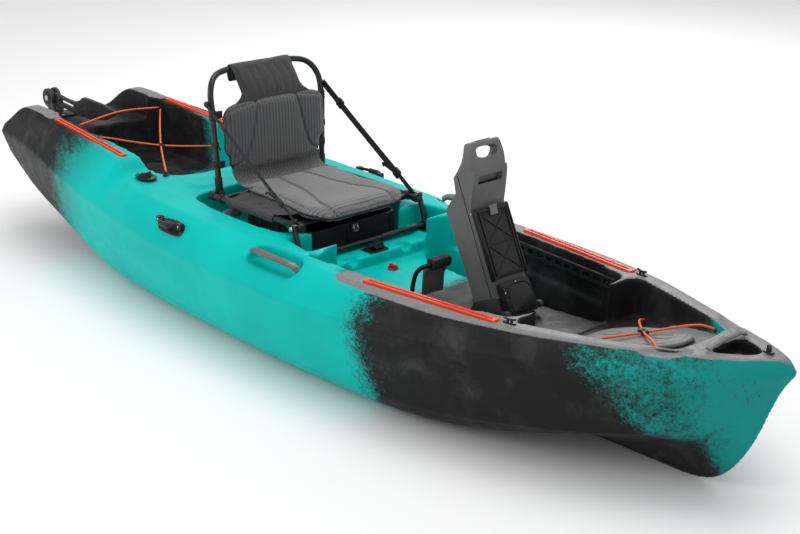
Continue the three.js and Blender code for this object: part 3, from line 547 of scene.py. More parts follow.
# ------------------------------------------------------------------ hull
# Long lines of the hull: each point is [x, half breadth, height].
LINES = {
    "keel": [
        (-1600, 18, 200), (-1450, 18, 100), (-1300, 18, 48), (-1100, 18, 12), (-900, 18, 0),
        (1330, 8, 0), (1400, 6, 16), (1445, 5, 50), (1490, 4, 115), (1520, 3.5, 180),
        (1550, 3, 262), (1575, 2.5, 322), (1600, 2, 355),
    ],
    "crown": [
        (-1600, 90, 226), (-1300, 110, 75), (-1000, 130, 42), (-700, 140, 30), (500, 135, 28),
        (800, 110, 32), (1000, 80, 38), (1150, 52, 40), (1300, 26, 38), (1400, 14, 50),
        (1490, 8, 135), (1550, 5, 272), (1600, 3, 356.5),
    ],
    "lobe": [
        (-1600, 160, 232), (-1300, 205, 95), (-1000, 240, 32), (-750, 258, 4), (-500, 262, 0),
        (450, 258, 0), (700, 240, 6), (880, 205, 28), (1000, 170, 50), (1150, 118, 78),
        (1300, 64, 94), (1400, 36, 112), (1490, 18, 178), (1550, 9, 288), (1600, 4, 358),
    ],
    "bilge": [
        (-1600, 228, 262), (-1370, 268, 190), (-1100, 310, 141), (-860, 345, 107), (-645, 367, 91),
        (-280, 392, 80), (160, 399, 71), (535, 382, 73), (740, 355, 82), (920, 321, 103),
        (1085, 272, 122), (1230, 205, 140), (1345, 140, 165), (1430, 85, 200), (1490, 50, 245),
        (1550, 22, 312), (1600, 5, 360),
    ],
    "rub": [
        (-1600, 262, 350), (-1475, 279, 353), (-1230, 323, 338), (-1060, 353, 318), (-800, 390, 296),
        (-520, 422, 277), (-310, 434, 267), (160, 444, 267), (465, 428, 273), (690, 404, 279),
        (870, 367, 290), (1045, 320, 307), (1200, 259, 316), (1345, 187, 325), (1470, 113, 335),
        (1535, 60, 345), (1600, 6, 362),
    ],
    "gunwale": [
        (-1600, 244, 376), (-1420, 244, 467), (-1250, 251, 456), (-1030, 273, 440), (-775, 289, 417),
        (-735, 300, 380), (-570, 348, 373), (-405, 352, 368), (265, 348, 356), (480, 341, 355),
        (755, 322, 356), (965, 281, 360), (1190, 202, 365), (1360, 130, 373), (1485, 71, 382),
        (1560, 22, 390), (1600, 4.5, 368),
    ],
}
VOXEL = 6.0
STERN, STEM = -1600, 1600
ABOVE = 620  # higher than every part of the hull

# Slotted gear tracks: name, aft end and front end of the port one.
TRACKS = (("aft", (-1245, 231, 455.5), (-800, 250, 420.5)), ("forward", (465, 321, 357), (905, 271, 357)))

# The bow well's floor climbs from its aft end to its front end.
WELL_AFT, WELL_FRONT, WELL_AFT_Z, WELL_FRONT_Z = 915, 1355, 236, 352
BOW_SLOPE = math.atan2(WELL_FRONT_Z - WELL_AFT_Z, WELL_FRONT - WELL_AFT)
HATCH_MIDDLE = (985 + 1296) / 2


def through(points, column):
    """A smooth value through [x, ...] points, with no overshoot between them."""
    xs = [p[0] for p in points]
    vs = [p[column] for p in points]
    slopes = [(vs[i + 1] - vs[i]) / (xs[i + 1] - xs[i]) for i in range(len(xs) - 1)]
    tangents = [slopes[0]]
    for a, b in zip(slopes, slopes[1:]):
        tangents.append(0 if a * b <= 0 else 2 * a * b / (a + b))
    tangents.append(slopes[-1])

    def at(x):
        i = min(max(int(np.searchsorted(xs, x)) - 1, 0), len(xs) - 2)
        h = xs[i + 1] - xs[i]
        t = min(max((x - xs[i]) / h, 0), 1)
        return (
            (2 * t**3 - 3 * t**2 + 1) * vs[i] + (t**3 - 2 * t**2 + t) * h * tangents[i]
            + (3 * t**2 - 2 * t**3) * vs[i + 1] + (t**3 - t**2) * h * tangents[i + 1]
        )

    return at


LINE_AT = {name: (through(points, 1), through(points, 2)) for name, points in LINES.items()}


def line(name, x):
    """Half breadth and height of one long line at x."""
    breadth, height = LINE_AT[name]
    return np.array((breadth(x), height(x)))


def half_section(x):
    """Half of the outline at x: keel, round bilge, rub crease, shoulder, gunwale."""
    keel, crown, lobe, bilge, rub, gunwale = (
        line(n, x) for n in ("keel", "crown", "lobe", "bilge", "rub", "gunwale")
    )
    amidships = float(smoothstep(250, 1000, STEM - abs(x)))
    bulge, fullness = 12 * amidships, 14 * amidships
    turn = lobe + (bilge - lobe) * 0.6 + (fullness, -fullness)
    low = bilge + (rub - bilge) * 0.5 + (fullness * 0.5, 0)
    shoulder = rub + (gunwale - rub) * 0.5 + (bulge * 0.6, bulge)
    runs = ((keel, crown, lobe, turn, bilge), (bilge, low, rub), (rub, shoulder, gunwale))
    under, side, top = (curve_points([(0.0, *p) for p in run], 4) for run in runs)
    return [(p.y, p.z) for p in [*under, *side[1:], *top[1:]]]


def hull_rings(xs, inset=0.0):
    """Whole outlines of the hull at the stations xs, moved inwards by inset."""
    rings = []
    for x in xs:
        half = half_section(x)
        outline = [*half, *[(-y, z) for y, z in reversed(half)]]
        rings.append([(x, y, z) for y, z in (grown(outline, -inset) if inset else outline)])
    return rings


def tool(shape):
    """A nameless mesh of flat faces, for cutting or joining."""
    return mesh_object("tool", *shape, smooth=0)


def well(outline, floor, draft, passes=3):
    """A tool that sinks a rounded plan down to a floor, with walls that lean outwards."""
    return tool(prism(rounded(outline, passes), floor, ABOVE, draft=draft))


def block(x0, x1, y0, y1, z0, z1, round_by=0.0):
    """A plain block between limits, with its upright corners rounded if asked."""
    outline = [(x0, y0), (x1, y0), (x1, y1), (x0, y1)]
    return tool(prism(rounded(outline, 2, round_by) if round_by else outline, z0, z1))


def tool_rod(a, b, radius, count=24):
    return tool(swept([a, b], circle(radius, count), straight=True))


def bow_floor(x):
    return WELL_AFT_Z + (x - WELL_AFT) * math.tan(BOW_SLOPE)


def hatch_outline(grow):
    """A squared oval, narrower at the front."""
    made = []
    for x, y in circle(1, 64):
        c, s = (math.copysign(abs(v) ** 0.8, v) for v in (x, y))
        made.append(((155.5 + grow) * c / math.cos(BOW_SLOPE), (92 + grow) * s * (1 - 0.16 * c)))
    return made


def on_hatch(x, y, z):
    """A point of the hatch's own flat frame laid on the sloping floor of the bow well."""
    c, s = math.cos(BOW_SLOPE), math.sin(BOW_SLOPE)
    return (HATCH_MIDDLE + x * c - z * s, y, bow_floor(HATCH_MIDDLE) + x * s + z * c)


def hatch_stack(name, levels, smooth=35):
    """A skin through hatch outlines: each level is (growth, height)."""
    rings = [[on_hatch(x, y, h) for x, y in hatch_outline(g)] for g, h in levels]
    return mesh_object(name, *skin(rings), smooth=smooth)


def slanted_well(plan, drop=0.0):
    """The bow well over a plan, or the same with its floor dropped."""
    low = [(x, y, bow_floor(x) - drop) for x, y in plan]
    return tool(skin([low, [(x, y, ABOVE) for x, y in grown(plan, 8)]]))


def rod_holder_axis(s):
    """Which way a rod holder leans, and the middle of its mouth."""
    return Vector((-0.42, 0.1 * s, 0.9)).normalized(), Vector((-662, s * 262, 379))


def side_track(a, b, s):
    """Both ends of a gear track on side s."""
    return Vector((a[0], s * a[1], a[2])), Vector((b[0], s * b[1], b[2]))


def track_axes(start, end):
    """The directions along, across and above a gear track."""
    along = (end - start).normalized()
    across = Vector((0, 0, 1)).cross(along).normalized()
    return along, across, along.cross(across)


def track_block(start, end, trim, half, low, high):
    """A bar along a gear track, shortened by trim at each end."""
    along, across, above = track_axes(start, end)
    section = [(-half, low), (half, low), (half, high), (-half, high)]
    ends = (start + along * trim, end - along * trim)
    return tool(skin([[p + across * y + above * z for y, z in section] for p in ends]))


def hull_cutters():
    """Everything that is taken out of the hull: wells first, then what repeats on each side."""
    made = [
        # stern step, tank well, seat well, its front step and the cockpit
        well(mirrored([(-1720, -186), (-1310, -186)]), 374, draft=10, passes=0),
        well(mirrored([(-1330, -150), (-1280, -200), (-1100, -203), (-682, -203), (-612, -120)]), 262, draft=12),
        well(mirrored([(-440, -205), (-400, -262), (90, -262)]), 226, draft=3, passes=2),
        well(mirrored([(70, -262), (184, -286)]), 286, draft=2, passes=0),
        well(mirrored([(180, -285), (400, -297), (930, -244)]), 246, draft=4, passes=1),
        # bow well, lifting recess at the stem, the drive's own opening, the hatch opening
        slanted_well(rounded(mirrored([(925, -244), (1000, -224), (1190, -158), (1300, -112), (1345, -88)]))),
        well(mirrored([(1398, -58), (1436, -52), (1496, -14)]), 338, draft=2),
        block(590, 750, -96, 96, -50, 222),
        block(591, 990, -52, 52, -50, 222),
        block(662, 740, -28, 28, 150, 300),
        hatch_stack("tool", [(-14, -40), (-14, 60)], 0),
        well(mirrored([(1412, -34), (1452, -28)]), 318, draft=1, passes=2),
    ]
    for _, s in SIDES:
        # footwell, drain, rod holder and scupper bores
        toe = [(196, 118), (196, 266), (400, 283), (880, 237), (915, 203), (915, 118)]
        made.append(well([(x, s * y) for x, y in toe], 118, draft=7, passes=2))
        made.append(tool_rod((140, s * 105, 286), (200, s * 105, 286), 20))
        lean, mouth = rod_holder_axis(s)
        made.append(tool_rod(mouth - lean * 150, mouth + lean * 60, 21))
        made.append(tool_rod((620, s * 190, -20), (620, s * 190, 200), 17))
        made.append(tool_rod((-1150, s * 120, -20), (-1150, s * 120, 300), 17))
        # hand hold in the shoulder beside the seat
        pocket = [(36, 330), (262, 330), (226, 470), (56, 470)]
        made.append(well([(x, s * y) for x, y in pocket], 316, draft=3, passes=2))
        for points, radius in (
            # low dish outboard of the grip
            ([(60, 396, 350), (150, 408, 346), (236, 396, 350)], 20),
            # recess behind the folding carry handle
            ([(-418, 398, 358), (-322, 399, 352), (-230, 399, 356)], 15),
            # notch in the gunwale where the bow cords hook on
            ([(1278, 196, 392), (1300, 150, 384), (1334, 124, 380), (1372, 96, 392)], 25),
            # hollow in the gunwale's inner corner behind the seat, ahead of the flare
            ([(-752, 330, 430), (-742, 298, 418), (-735, 262, 412)], 20),
        ):
            made.append(tool(swept([(x, s * y, z) for x, y, z in points], circle(radius))))
        # cable slot in the cockpit wall, then the gear track beds
        made.append(block(200, 300, *span(s, 286, 304), 318, 420))
        for _, a, b in TRACKS:
            made.append(track_block(*side_track(a, b, s), -1.2, 12.2, -10.5, 60))
    return made


def hull_ridges():
    """Raised shapes moulded into the wells."""
    made = []
    for _, s in SIDES:
        for i in range(5):
            x = 236 + i * 46
            made.append(block(x, x + 20, *span(s, 140, 262), 110, 124, 0.2))
        # pad under the seat's front cross bar
        made.append(block(96, 172, *span(s, 196, 262), 280, 291, 0.2))
        # ledges that carry the seat brackets
        made.append(block(-300, -236, *span(s, 243, 268), 220, 306, 0.15))
        made.append(block(-40, 60, *span(s, 248, 268), 220, 280, 0.15))
        # raised panels on the deck between the seat and the tank well
        made.append(block(-560, -470, *span(s, 60, 190), 360, 377, 0.25))
    made.append(block(196, 266, -36, 36, 240, 247, 0.25))
    return made


def paint_hull(hull):
    """Shares of dark, pale and deeper teal at each vertex: dark and pale as the resin was laid in the mould; the deeper
    teal partly so, at the stern, and partly painted shade towards the bow and in the cockpit.
    """
    co = vertex_values(hull) / MM
    x, y, z = co.T
    normal_z = vertex_values(hull, "normal")[:, 2]
    stations = np.linspace(STERN, STEM, 161)
    near = np.clip(((x - STERN) / (stations[1] - STERN)).round().astype(int), 0, len(stations) - 1)
    rows = {n: np.array([line(n, v) for v in stations])[near] for n in ("lobe", "bilge", "rub", "gunwale")}
    gunwale_z = rows["gunwale"][:, 1]
    # half breadth of the outer skin at this height
    reach = np.zeros(len(co))
    for low, high in (("lobe", "bilge"), ("bilge", "rub"), ("rub", "gunwale")):
        a, b = rows[low], rows[high]
        t = np.clip((z - a[:, 1]) / np.maximum(b[:, 1] - a[:, 1], 1), 0, 1)
        reach = np.where(z >= a[:, 1], a[:, 0] + (b[:, 0] - a[:, 0]) * t, reach)
    skin_side = smoothstep(-20, -4, np.abs(y) - reach)
    below = fade(-10, 12, z - rows["bilge"][:, 1]) * smoothstep(-0.5, 0.1, -normal_z)
    up = smoothstep(0.72, 0.95, normal_z)
    near_top = smoothstep(-16, -5, z - gunwale_z)
    shoulder = near_top * up * fade(200, 330, x)
    outside = np.maximum(np.maximum(skin_side, below), shoulder)
    stern = fade(-1450, -660, x - (z - 330) * 0.5)
    middle = smoothstep(300, 760, x + (z - 200) * 0.1) * fade(1010, 1290, x + (z - 230) * 0.9)
    bow_patches = 0.56 * smoothstep(900, 1060, x) * (1 - 0.6 * smoothstep(1340, 1580, x))
    low_bow = 0.25 * smoothstep(900, 1100, x) * fade(20, 190, z) * fade(1280, 1500, x)
    side = np.clip(0.95 * stern + 0.96 * middle + bow_patches + low_bow, 0, 1)
    tank = fade(-1060, -760, x + (z - 262) * 0.25) * 0.95
    cockpit = smoothstep(330, 520, x + (z - 246) * 0.5) * 0.96
    front_wall = smoothstep(1190, 1310, x) * smoothstep(-20, 30, z - 250 - (x - 915) * 0.2)
    front_wall *= smoothstep(-20, 20, y) * fade(1370, 1400, x)
    cockpit = cockpit * (1 - 0.7 * front_wall)
    inside = np.clip(tank + cockpit, 0, 1)
    dark = side * outside + inside * (1 - outside)
    near_top = np.maximum(near_top, smoothstep(-75, -60, z - gunwale_z) * smoothstep(1080, 1120, x))
    strip = smoothstep(330, 420, x) * near_top * up
    flare = fade(-1330, -1060, x) * near_top * up * 0.5
    deck = 0.42 * fade(-1300, -1240, x) * up * smoothstep(366, 372, z)
    above_floor = z - bow_floor(x)
    hatch_deck = 0.42 * smoothstep(930, 1010, x) * up * smoothstep(-3, 0, above_floor) * fade(4, 9, above_floor)
    pale = np.clip(strip + flare + deck + hatch_deck, 0, 1)
    # painted shade: deeper teal on the outside towards the bow and on the inner walls towards the front of the cockpit,
    # added to the stern's own deeper tone
    shade = 0.7 * smoothstep(980, 1400, x) * outside + 0.45 * (1 - outside) * smoothstep(100, 900, x)
    deep_teal_and_shade = np.clip(shade + 0.95 * fade(-1220, -780, x - (z - 330) * 0.4), 0, 1)
    for name, values in (("dark", dark), ("pale", pale), ("deep_teal_and_shade", deep_teal_and_shade)):
        layer = hull.data.attributes.new(name, "FLOAT", "POINT")
        layer.data.foreach_set("value", values.astype(np.float32))


def make_hull():
    xs = sorted({*np.linspace(STERN, STEM, 161), -775, -755, -735, 1510, 1530, 1550, 1570, 1590})
    hull = mesh_object("hull_moulding", *skin(hull_rings(xs)), smooth=0)
    cutters, ridges = hull_cutters(), hull_ridges()
    # the air space under the bow hatch
    cavity = tool(skin(hull_rings(np.linspace(960, 1330, 16), 9)))
    lid_side = slanted_well(mirrored([(900, -300), (1400, -300)]), 10)
    bay = block(985, 1330, -200, 200, -60, 600)
    boolean(cavity, [lid_side])
    boolean(cavity, [bay], "INTERSECT")
    baked(cavity, 0)
    boolean(hull, cutters)
    boolean(hull, ridges, "UNION")
    boolean(hull, [cavity])
    baked(hull, 0)
    remesh = hull.modifiers.new("remesh", "REMESH")
    remesh.mode, remesh.voxel_size = "VOXEL", VOXEL * MM
    soften = hull.modifiers.new("soften", "SMOOTH")
    soften.factor, soften.iterations = 0.5, 5
    baked(hull, 0)
    discard([*cutters, *ridges, cavity, lid_side, bay])
    paint_hull(hull)
    return finished(hull, marbled_hull(), "boat", ["hull"])


# ------------------------------------------------------------------ materials in use
BLACK = moulded("black_plastic", (0.013, 0.013, 0.014), 0.46)
BLACK_GLOSS = moulded("black_plastic_fine", (0.010, 0.010, 0.011), 0.33, grain=3400, depth=0.03)
DARK = moulded("dark_grey_plastic", (0.034, 0.035, 0.036), 0.5)
CONSOLE_GREY = moulded("console_grey", (0.125, 0.126, 0.128), 0.44, spread=0.06)
LID_GREY = moulded("hatch_grey", (0.15, 0.15, 0.147), 0.5)
GRIP_GREY = moulded("grip_grey", (0.20, 0.20, 0.195), 0.48)
ORANGE = moulded("track_orange", (0.86, 0.075, 0.022), 0.34, spread=0.08)
RED = moulded("plug_red", (0.55, 0.012, 0.014), 0.3)
RUBBER = moulded("soft_rubber", (0.018, 0.018, 0.018), 0.72, grain=1500, depth=0.12)
# near-black standing in for shadow in slots, hollows and the housing seam
PAINTED_SLOT_SHADE = moulded("slot_shadow", (0.02, 0.006, 0.005), 0.8)
RUDDER_BLACK = moulded("rudder_black", (0.02, 0.021, 0.022), 0.55, grain=700, depth=0.25)
TUBE = anodised("black_tube", (0.006, 0.006, 0.0065), 0.19, 0.0)
STEEL = anodised("bright_steel", (0.52, 0.53, 0.54), 0.28, 1.0)
LATCH_STEEL = anodised("latch_steel", (0.14, 0.14, 0.145), 0.34, 0.7)
CORD = braided("shock_cord", (0.86, 0.13, 0.025), (0.55, 0.05, 0.01))
STRAP = webbing("strap_webbing", (0.005, 0.005, 0.0052))
PAN_CLOTH = woven("pan_cloth", (0.095, 0.095, 0.097), 0, 1)
BACK_CLOTH = woven("back_cloth", (0.052, 0.052, 0.054), 1, 2)
WING_CLOTH = woven("wing_cloth", (0.0125, 0.0125, 0.013), 0, 1, pitch=1.6, thread=1.1, sheen=0.2)
HEAD_CLOTH = woven("headrest_cloth", (0.019, 0.019, 0.0195), 1, 2, pitch=1.6, thread=1.1, sheen=0.2)


def kept(name, material, bevel, segments=2):
    """A CAD node that stays: its own shape with eased edges and a real finish."""
    node = nodes[name]
    node.data.materials.clear()
    node.data.materials.append(material)
    if "custom_normal" in node.data.attributes:
        node.data.attributes.remove(node.data.attributes["custom_normal"])
    node.data.polygons.foreach_set("use_smooth", [True] * len(node.data.polygons))
    weld = node.modifiers.new("weld", "WELD")
    weld.merge_threshold = 0.02 * MM
    ease = node.modifiers.new("ease", "BEVEL")
    ease.width, ease.segments = bevel * MM, segments
    ease.limit_method, ease.angle_limit = "ANGLE", math.radians(32)
    ease.harden_normals = True
    return node


def screw(name, centre, normal, radius):
    """A pan-head screw with a cross slot."""
    n, a, b = frame_of(normal)
    head = disc(name, centre, normal, radius, radius * 0.55, 20, radius * 0.3)
    top = Vector(centre) + n * radius * 0.62
    slot = rect(0.6 * radius, 0.12 * radius)
    cuts = []
    for u, v in ((a, b), (b, a)):
        rings = [[top - n * d + u * p + v * q for p, q in slot] for d in (0.5 * radius, -0.5 * radius)]
        cuts.append(tool(skin(rings)))
    return finished(carved(head, cuts, 30), STEEL, "boat")


CORD_RADIUS = 3.2


# ------------------------------------------------------------------ deck fittings
def make_tracks():
    for word, s in SIDES:
        for name, a, b in TRACKS:
            kept(f"gear_track_{name}_{word}", ORANGE, 1.6, 3)
            start, end = side_track(a, b, s)
            along, across, above = track_axes(start, end)
            length = (end - start).length
            teeth = []
            for x in np.linspace(18, length - 18, 26):
                for side in (-1, 1):
                    p = start + along * float(x) + across * side * 6.9 + above * 4.1
                    corners = [p + along * u + across * v for u, v in rect(1.1, 2.1)]
                    teeth.append(tool(skin([[c + above * h for c in corners] for h in (-0.4, 0.5)])))
            ladder = bevelled(merged(f"track_teeth_{name}_{word}", teeth), 0.3, 2)
            finished(ladder, ORANGE, "boat")
            # a thin near-black strip on the slot's floor: painted shadow down the channel
            shadow_strip = track_block(start, end, 16, 3.1, -2.6, -1.9)
            shadow_strip.name = f"track_channel_shadow_{name}_{word}"
            finished(shadow_strip, PAINTED_SLOT_SHADE, "boat")
            for x in (26, length / 2, length - 26):
                p = start + along * x - above * 1.9
                screw(f"track_screw_{name}_{word}_{int(x)}", p, above, 2.7)


def make_hatch():
    rim = hatch_stack("hatch_rim_ring", [(-26, 0.5), (-26, 3.4), (-16, 4.2), (-2, 4.2), (3, 2.6), (3.4, 0.5)])
    finished(rim, DARK, "boat", ["hatch_rim"])
    carved(rim, [hatch_stack("tool", [(-24, -60), (-24, 60)], 0)], 35)
    collar = hatch_stack("hatch_collar", [(-14.6, -18), (-14.6, 2)])
    carved(collar, [hatch_stack("tool", [(-25, -60), (-25, 60)], 0)], 35)
    finished(collar, DARK, "boat")
    levels = [(-22, 4.6), (-3, 4.6), (0.5, 6.5), (1.2, 10), (0.2, 13.4), (-2.5, 15.4), (-6, 16.4)]
    levels += [(-9, 16.2), (-11, 16.4), (-14, 18.0), (-20, 19.3), (-34, 20.2), (-60, 20.8), (-84, 21.0)]
    lid = hatch_stack("hatch_lid_moulding", levels, 40)
    # two oval grooves pressed into the lid, each round a plain raised island
    grooves = []
    for x, y in ((-88, 6), (86, -2)):
        groove, island = (
            tool(skin([[on_hatch(u, v, h) for u, v in ellipse(a + g, b + g, 48, x, y)] for g, h in levels]))
            for a, b, levels in ((34, 19, ((0, 19.6), (2.2, 24))), (28, 13.5, ((0, 17), (-2, 26))))
        )
        grooves.append(carved(groove, [island], 0))
    carved(lid, grooves, 28)
    finished(lid, LID_GREY, "hatch", ["hatch_lid"])


def cord_run(name, runs, body, node):
    """Shock cords, one for each list of points, as one piece."""
    cord = merged(name, [pipe(name, points, CORD_RADIUS, 14, per=10) for points in runs])
    finished(cord, CORD, body, [node])


def hook(name, at, towards):
    """A black moulded hook that a shock cord ends in, with its foot on the deck."""
    p, d = Vector(at), (Vector(towards) - Vector(at)).normalized()
    foot = disc(f"{name}_foot", p - Vector((0, 0, 9)), (0, 0, 1), 9.5, 4, 24, 1.2)
    loop = [p + d * 3.6 * math.cos(t) + Vector((0, 0, -6 + 9 * math.sin(t))) for t in np.linspace(0, math.pi, 9)]
    eye = pipe(f"{name}_eye", loop, 2.3, 12, per=3)
    sleeve = pipe(f"{name}_sleeve", [p + d * 5, p + d * 17], 4.3, 16, straight=True)
    return finished(merged(name, [foot, eye, sleeve]), BLACK_GLOSS, "boat")


def cord_clip(name, centre, body):
    """The small cross-shaped clip that holds two shock cords together."""
    c = Vector(centre)
    arms = []
    for angle in (0.35, -0.75):
        u = Vector((math.cos(angle), math.sin(angle), 0))
        v = Vector((-u.y, u.x, 0))
        plan = rounded(rect(15, 5.2))
        rings = [[c + u * a + v * b + Vector((0, 0, h)) for a, b in plan] for h in (-5.2, 5.2)]
        arms.append(bevelled(mesh_object("arm", *skin(rings)), 1.4, 2))
    return finished(merged(name, arms), BLACK, body)


def make_cords():
    rudder = [(-1155, -196, 446), (-1205, 0, 452), (-1240, 188, 430)]
    cord_run("rudder_cord", [rudder], "boat", "rudder_bungee")
    short = [(-1036, -196, 428), (-956, 0, 379), (-900, 198, 352)]
    long = [(-1240, 195, 422), (-1100, 96, 402), (-956, 0, 378), (-650, -190, 385)]
    cord_run("tank_well_cord", [short, long], "boat", "tank_well_bungee")
    cord_clip("tank_cord_clip", (-956, 0, 378.5), "boat")
    hook("cord_hook_rudder_port", (-1240, 194, 427), (-1205, 0, 452))
    for name, at in (("starboard", (-1040, -199, 431)), ("port", (-898, 201, 350)), ("front", (-645, -196, 386))):
        hook(f"cord_hook_tank_{name}", at, (-956, 0, 379))
    runs = []
    for side, lift in ((-1, 29), (1, 32)):
        run = ((1030, 168, 14), (1060, 110, 29), (1157, 0, lift), (1262, -92, 29), (1292, -112, 14))
        runs.append([(x, side * y, bow_floor(x) + rise) for x, y, rise in run])
    cord_run("bow_cord", runs, "hatch", "bow_bungee")
    cord_clip("bow_cord_clip", (1157, 0, bow_floor(1157) + 31.5), "hatch")
    for i, (x, y) in enumerate(((1024, 174), (1024, -174), (1298, 117), (1298, -117))):
        foot = disc(f"bow_cord_anchor_{i}", (x, y, bow_floor(x) + 7), (-0.25, 0, 1), 9, 5, 20, 1.5)
        finished(foot, BLACK, "boat")


def make_bow():
    half = [(1404, -74, 383), (1406, -60, 391), (1412, -30, 397)]
    path = [*half, (1414, 0, 399), *[(x, -y, z) for x, y, z in reversed(half)]]
    grip = mesh_object("bow_carry_grip", *swept(path, ellipse(9.5, 5.8, 24), 8), smooth=60)
    rings = []
    for y in range(-36, 37, 9):
        x = 1413.2 - abs(y) * 0.045
        z = 398.6 - (abs(y) / 60) ** 2 * 4.5
        band = [[(a, b, c) for a, c in ellipse(10.2, 6.5, 20, x, z)] for b in (y, y + 3.6)]
        rings.append(mesh_object("rib", *skin(band), smooth=50))
    ribs = bevelled(merged("bow_grip_ribs", rings), 0.6, 2)
    finished(grip, GRIP_GREY, "boat", ["bow_grip"])
    finished(ribs, GRIP_GREY, "boat")
    kept("bow_eyelet", BLACK, 1.0, 3)
    for x in (1514, 1530):
        screw(f"eyelet_screw_{x}", (x, 0, 393.8), (0, 0, 1), 2.4)


def make_rod_holders():
    for word, s in SIDES:
        lean, mouth = rod_holder_axis(s)
        rows = []
        for grow, z in ((0.5, 380.5), (1, 384), (-1.5, 386.5), (-5, 387), (-8, 386.2)):
            ring = ellipse(44 + grow, 28 + grow, 48)
            rows.append([(x - 660, s * 262 + y * (1 + 0.12 * x / (44 + grow)), z) for x, y in ring])
        flange = mesh_object("flange", *skin(rows), smooth=35)
        lip = mesh_object("lip", *swept([mouth - lean * 2, mouth + lean * 14], circle(23.5, 32), straight=True))
        boolean(flange, [lip], "UNION")
        bore = tool_rod(mouth - lean * 170, mouth + lean * 80, 17.6, 32)
        barrel = mesh_object("barrel", *swept([mouth - lean * 138, mouth], circle(20.4, 32), straight=True))
        boolean(flange, [barrel], "UNION")
        carved(flange, [bore], 35)
        discard([lip, barrel])
        flange.name = f"rod_holder_{word}_moulding"
        finished(flange, BLACK_GLOSS, "boat", [f"rod_holder_{word}"])
        for i, x in enumerate((-624, -696)):
            screw(f"rod_holder_screw_{word}_{i}", (x, s * 262, 386), (0, 0, 1), 3)


def make_side_grips():
    for word, s in SIDES:
        path = ((58, 374, 344), (70, 385, 353), (152, 389, 353), (236, 384, 349), (246, 375, 338))
        path = [(x, s * y, z) for x, y, z in path]
        grip = mesh_object(f"side_grip_{word}_bar", *swept(path, rounded(rect(16, 7)), 6), smooth=40)
        finished(grip, CONSOLE_GREY, "boat", [f"side_grip_{word}"])
        for x in (62, 242):
            screw(f"side_grip_screw_{word}_{x}", (x + 4, s * 380, 354 if x < 100 else 350), (0, s * 0.1, 1), 3)


def side_reach(x, z):
    """Half breadth of the hull's side at a height above its rub line."""
    upper = half_section(x)[-8:]
    return np.interp(z, [p[1] for p in upper], [p[0] for p in upper])


def make_carry_handles():
    for word, s in SIDES:
        kept(f"carry_bracket_{word}", BLACK_GLOSS, 2.5, 3)
        arm = ((37, 405, 348), (35, 412, 346), (23, 426, 341))
        path = [(-322 - x, s * y, z) for x, y, z in arm] + [(-322 + x, s * y, z) for x, y, z in reversed(arm)]
        bail = pipe("bail", path, 5.2, 18, per=8)
        hold = pipe("hold", [(-346, s * 426, 341), (-298, s * 426, 341)], 8.6, 20, straight=True)
        hold = bevelled(hold, 2.0, 3, 50)
        finished(merged(f"carry_bail_{word}_handle", [bail, hold]), BLACK_GLOSS, f"carry_bail_{word}_body",
                 [f"carry_bail_{word}"])
        rings = []
        plan = rounded([(-372, 309), (-272, 309), (-256, 325), (-268, 345), (-376, 345), (-388, 325)], 2, 0.25)
        for grow, lift in ((0, -2), (0, 3.2), (-2.5, 5.0)):
            rings.append([(x, s * (side_reach(x, z) + lift), z) for x, z in grown(plan, grow)])
        plate = mesh_object(f"carry_plate_{word}", *skin(rings), smooth=40)
        finished(plate, BLACK_GLOSS, "boat")
        for x in (-374, -270):
            screw(f"carry_screw_{word}_{x}", (x, s * 414, 343), (0, s, 0.3), 3)


def make_tank_mat():
    plan = mirrored([(-1130, -70), (-1100, -96), (-830, -96), (-790, -60)])
    mat = mesh_object("tank_well_pad", *prism(rounded(plan, 2), 262.4, 267), smooth=40)
    grooves = [block(-1130 + i * 17, -1127 + i * 17, -84, 84, 265.4, 270) for i in range(3, 19)]
    finished(carved(mat, grooves, 40), RUBBER, "boat", ["tank_well_mat"])


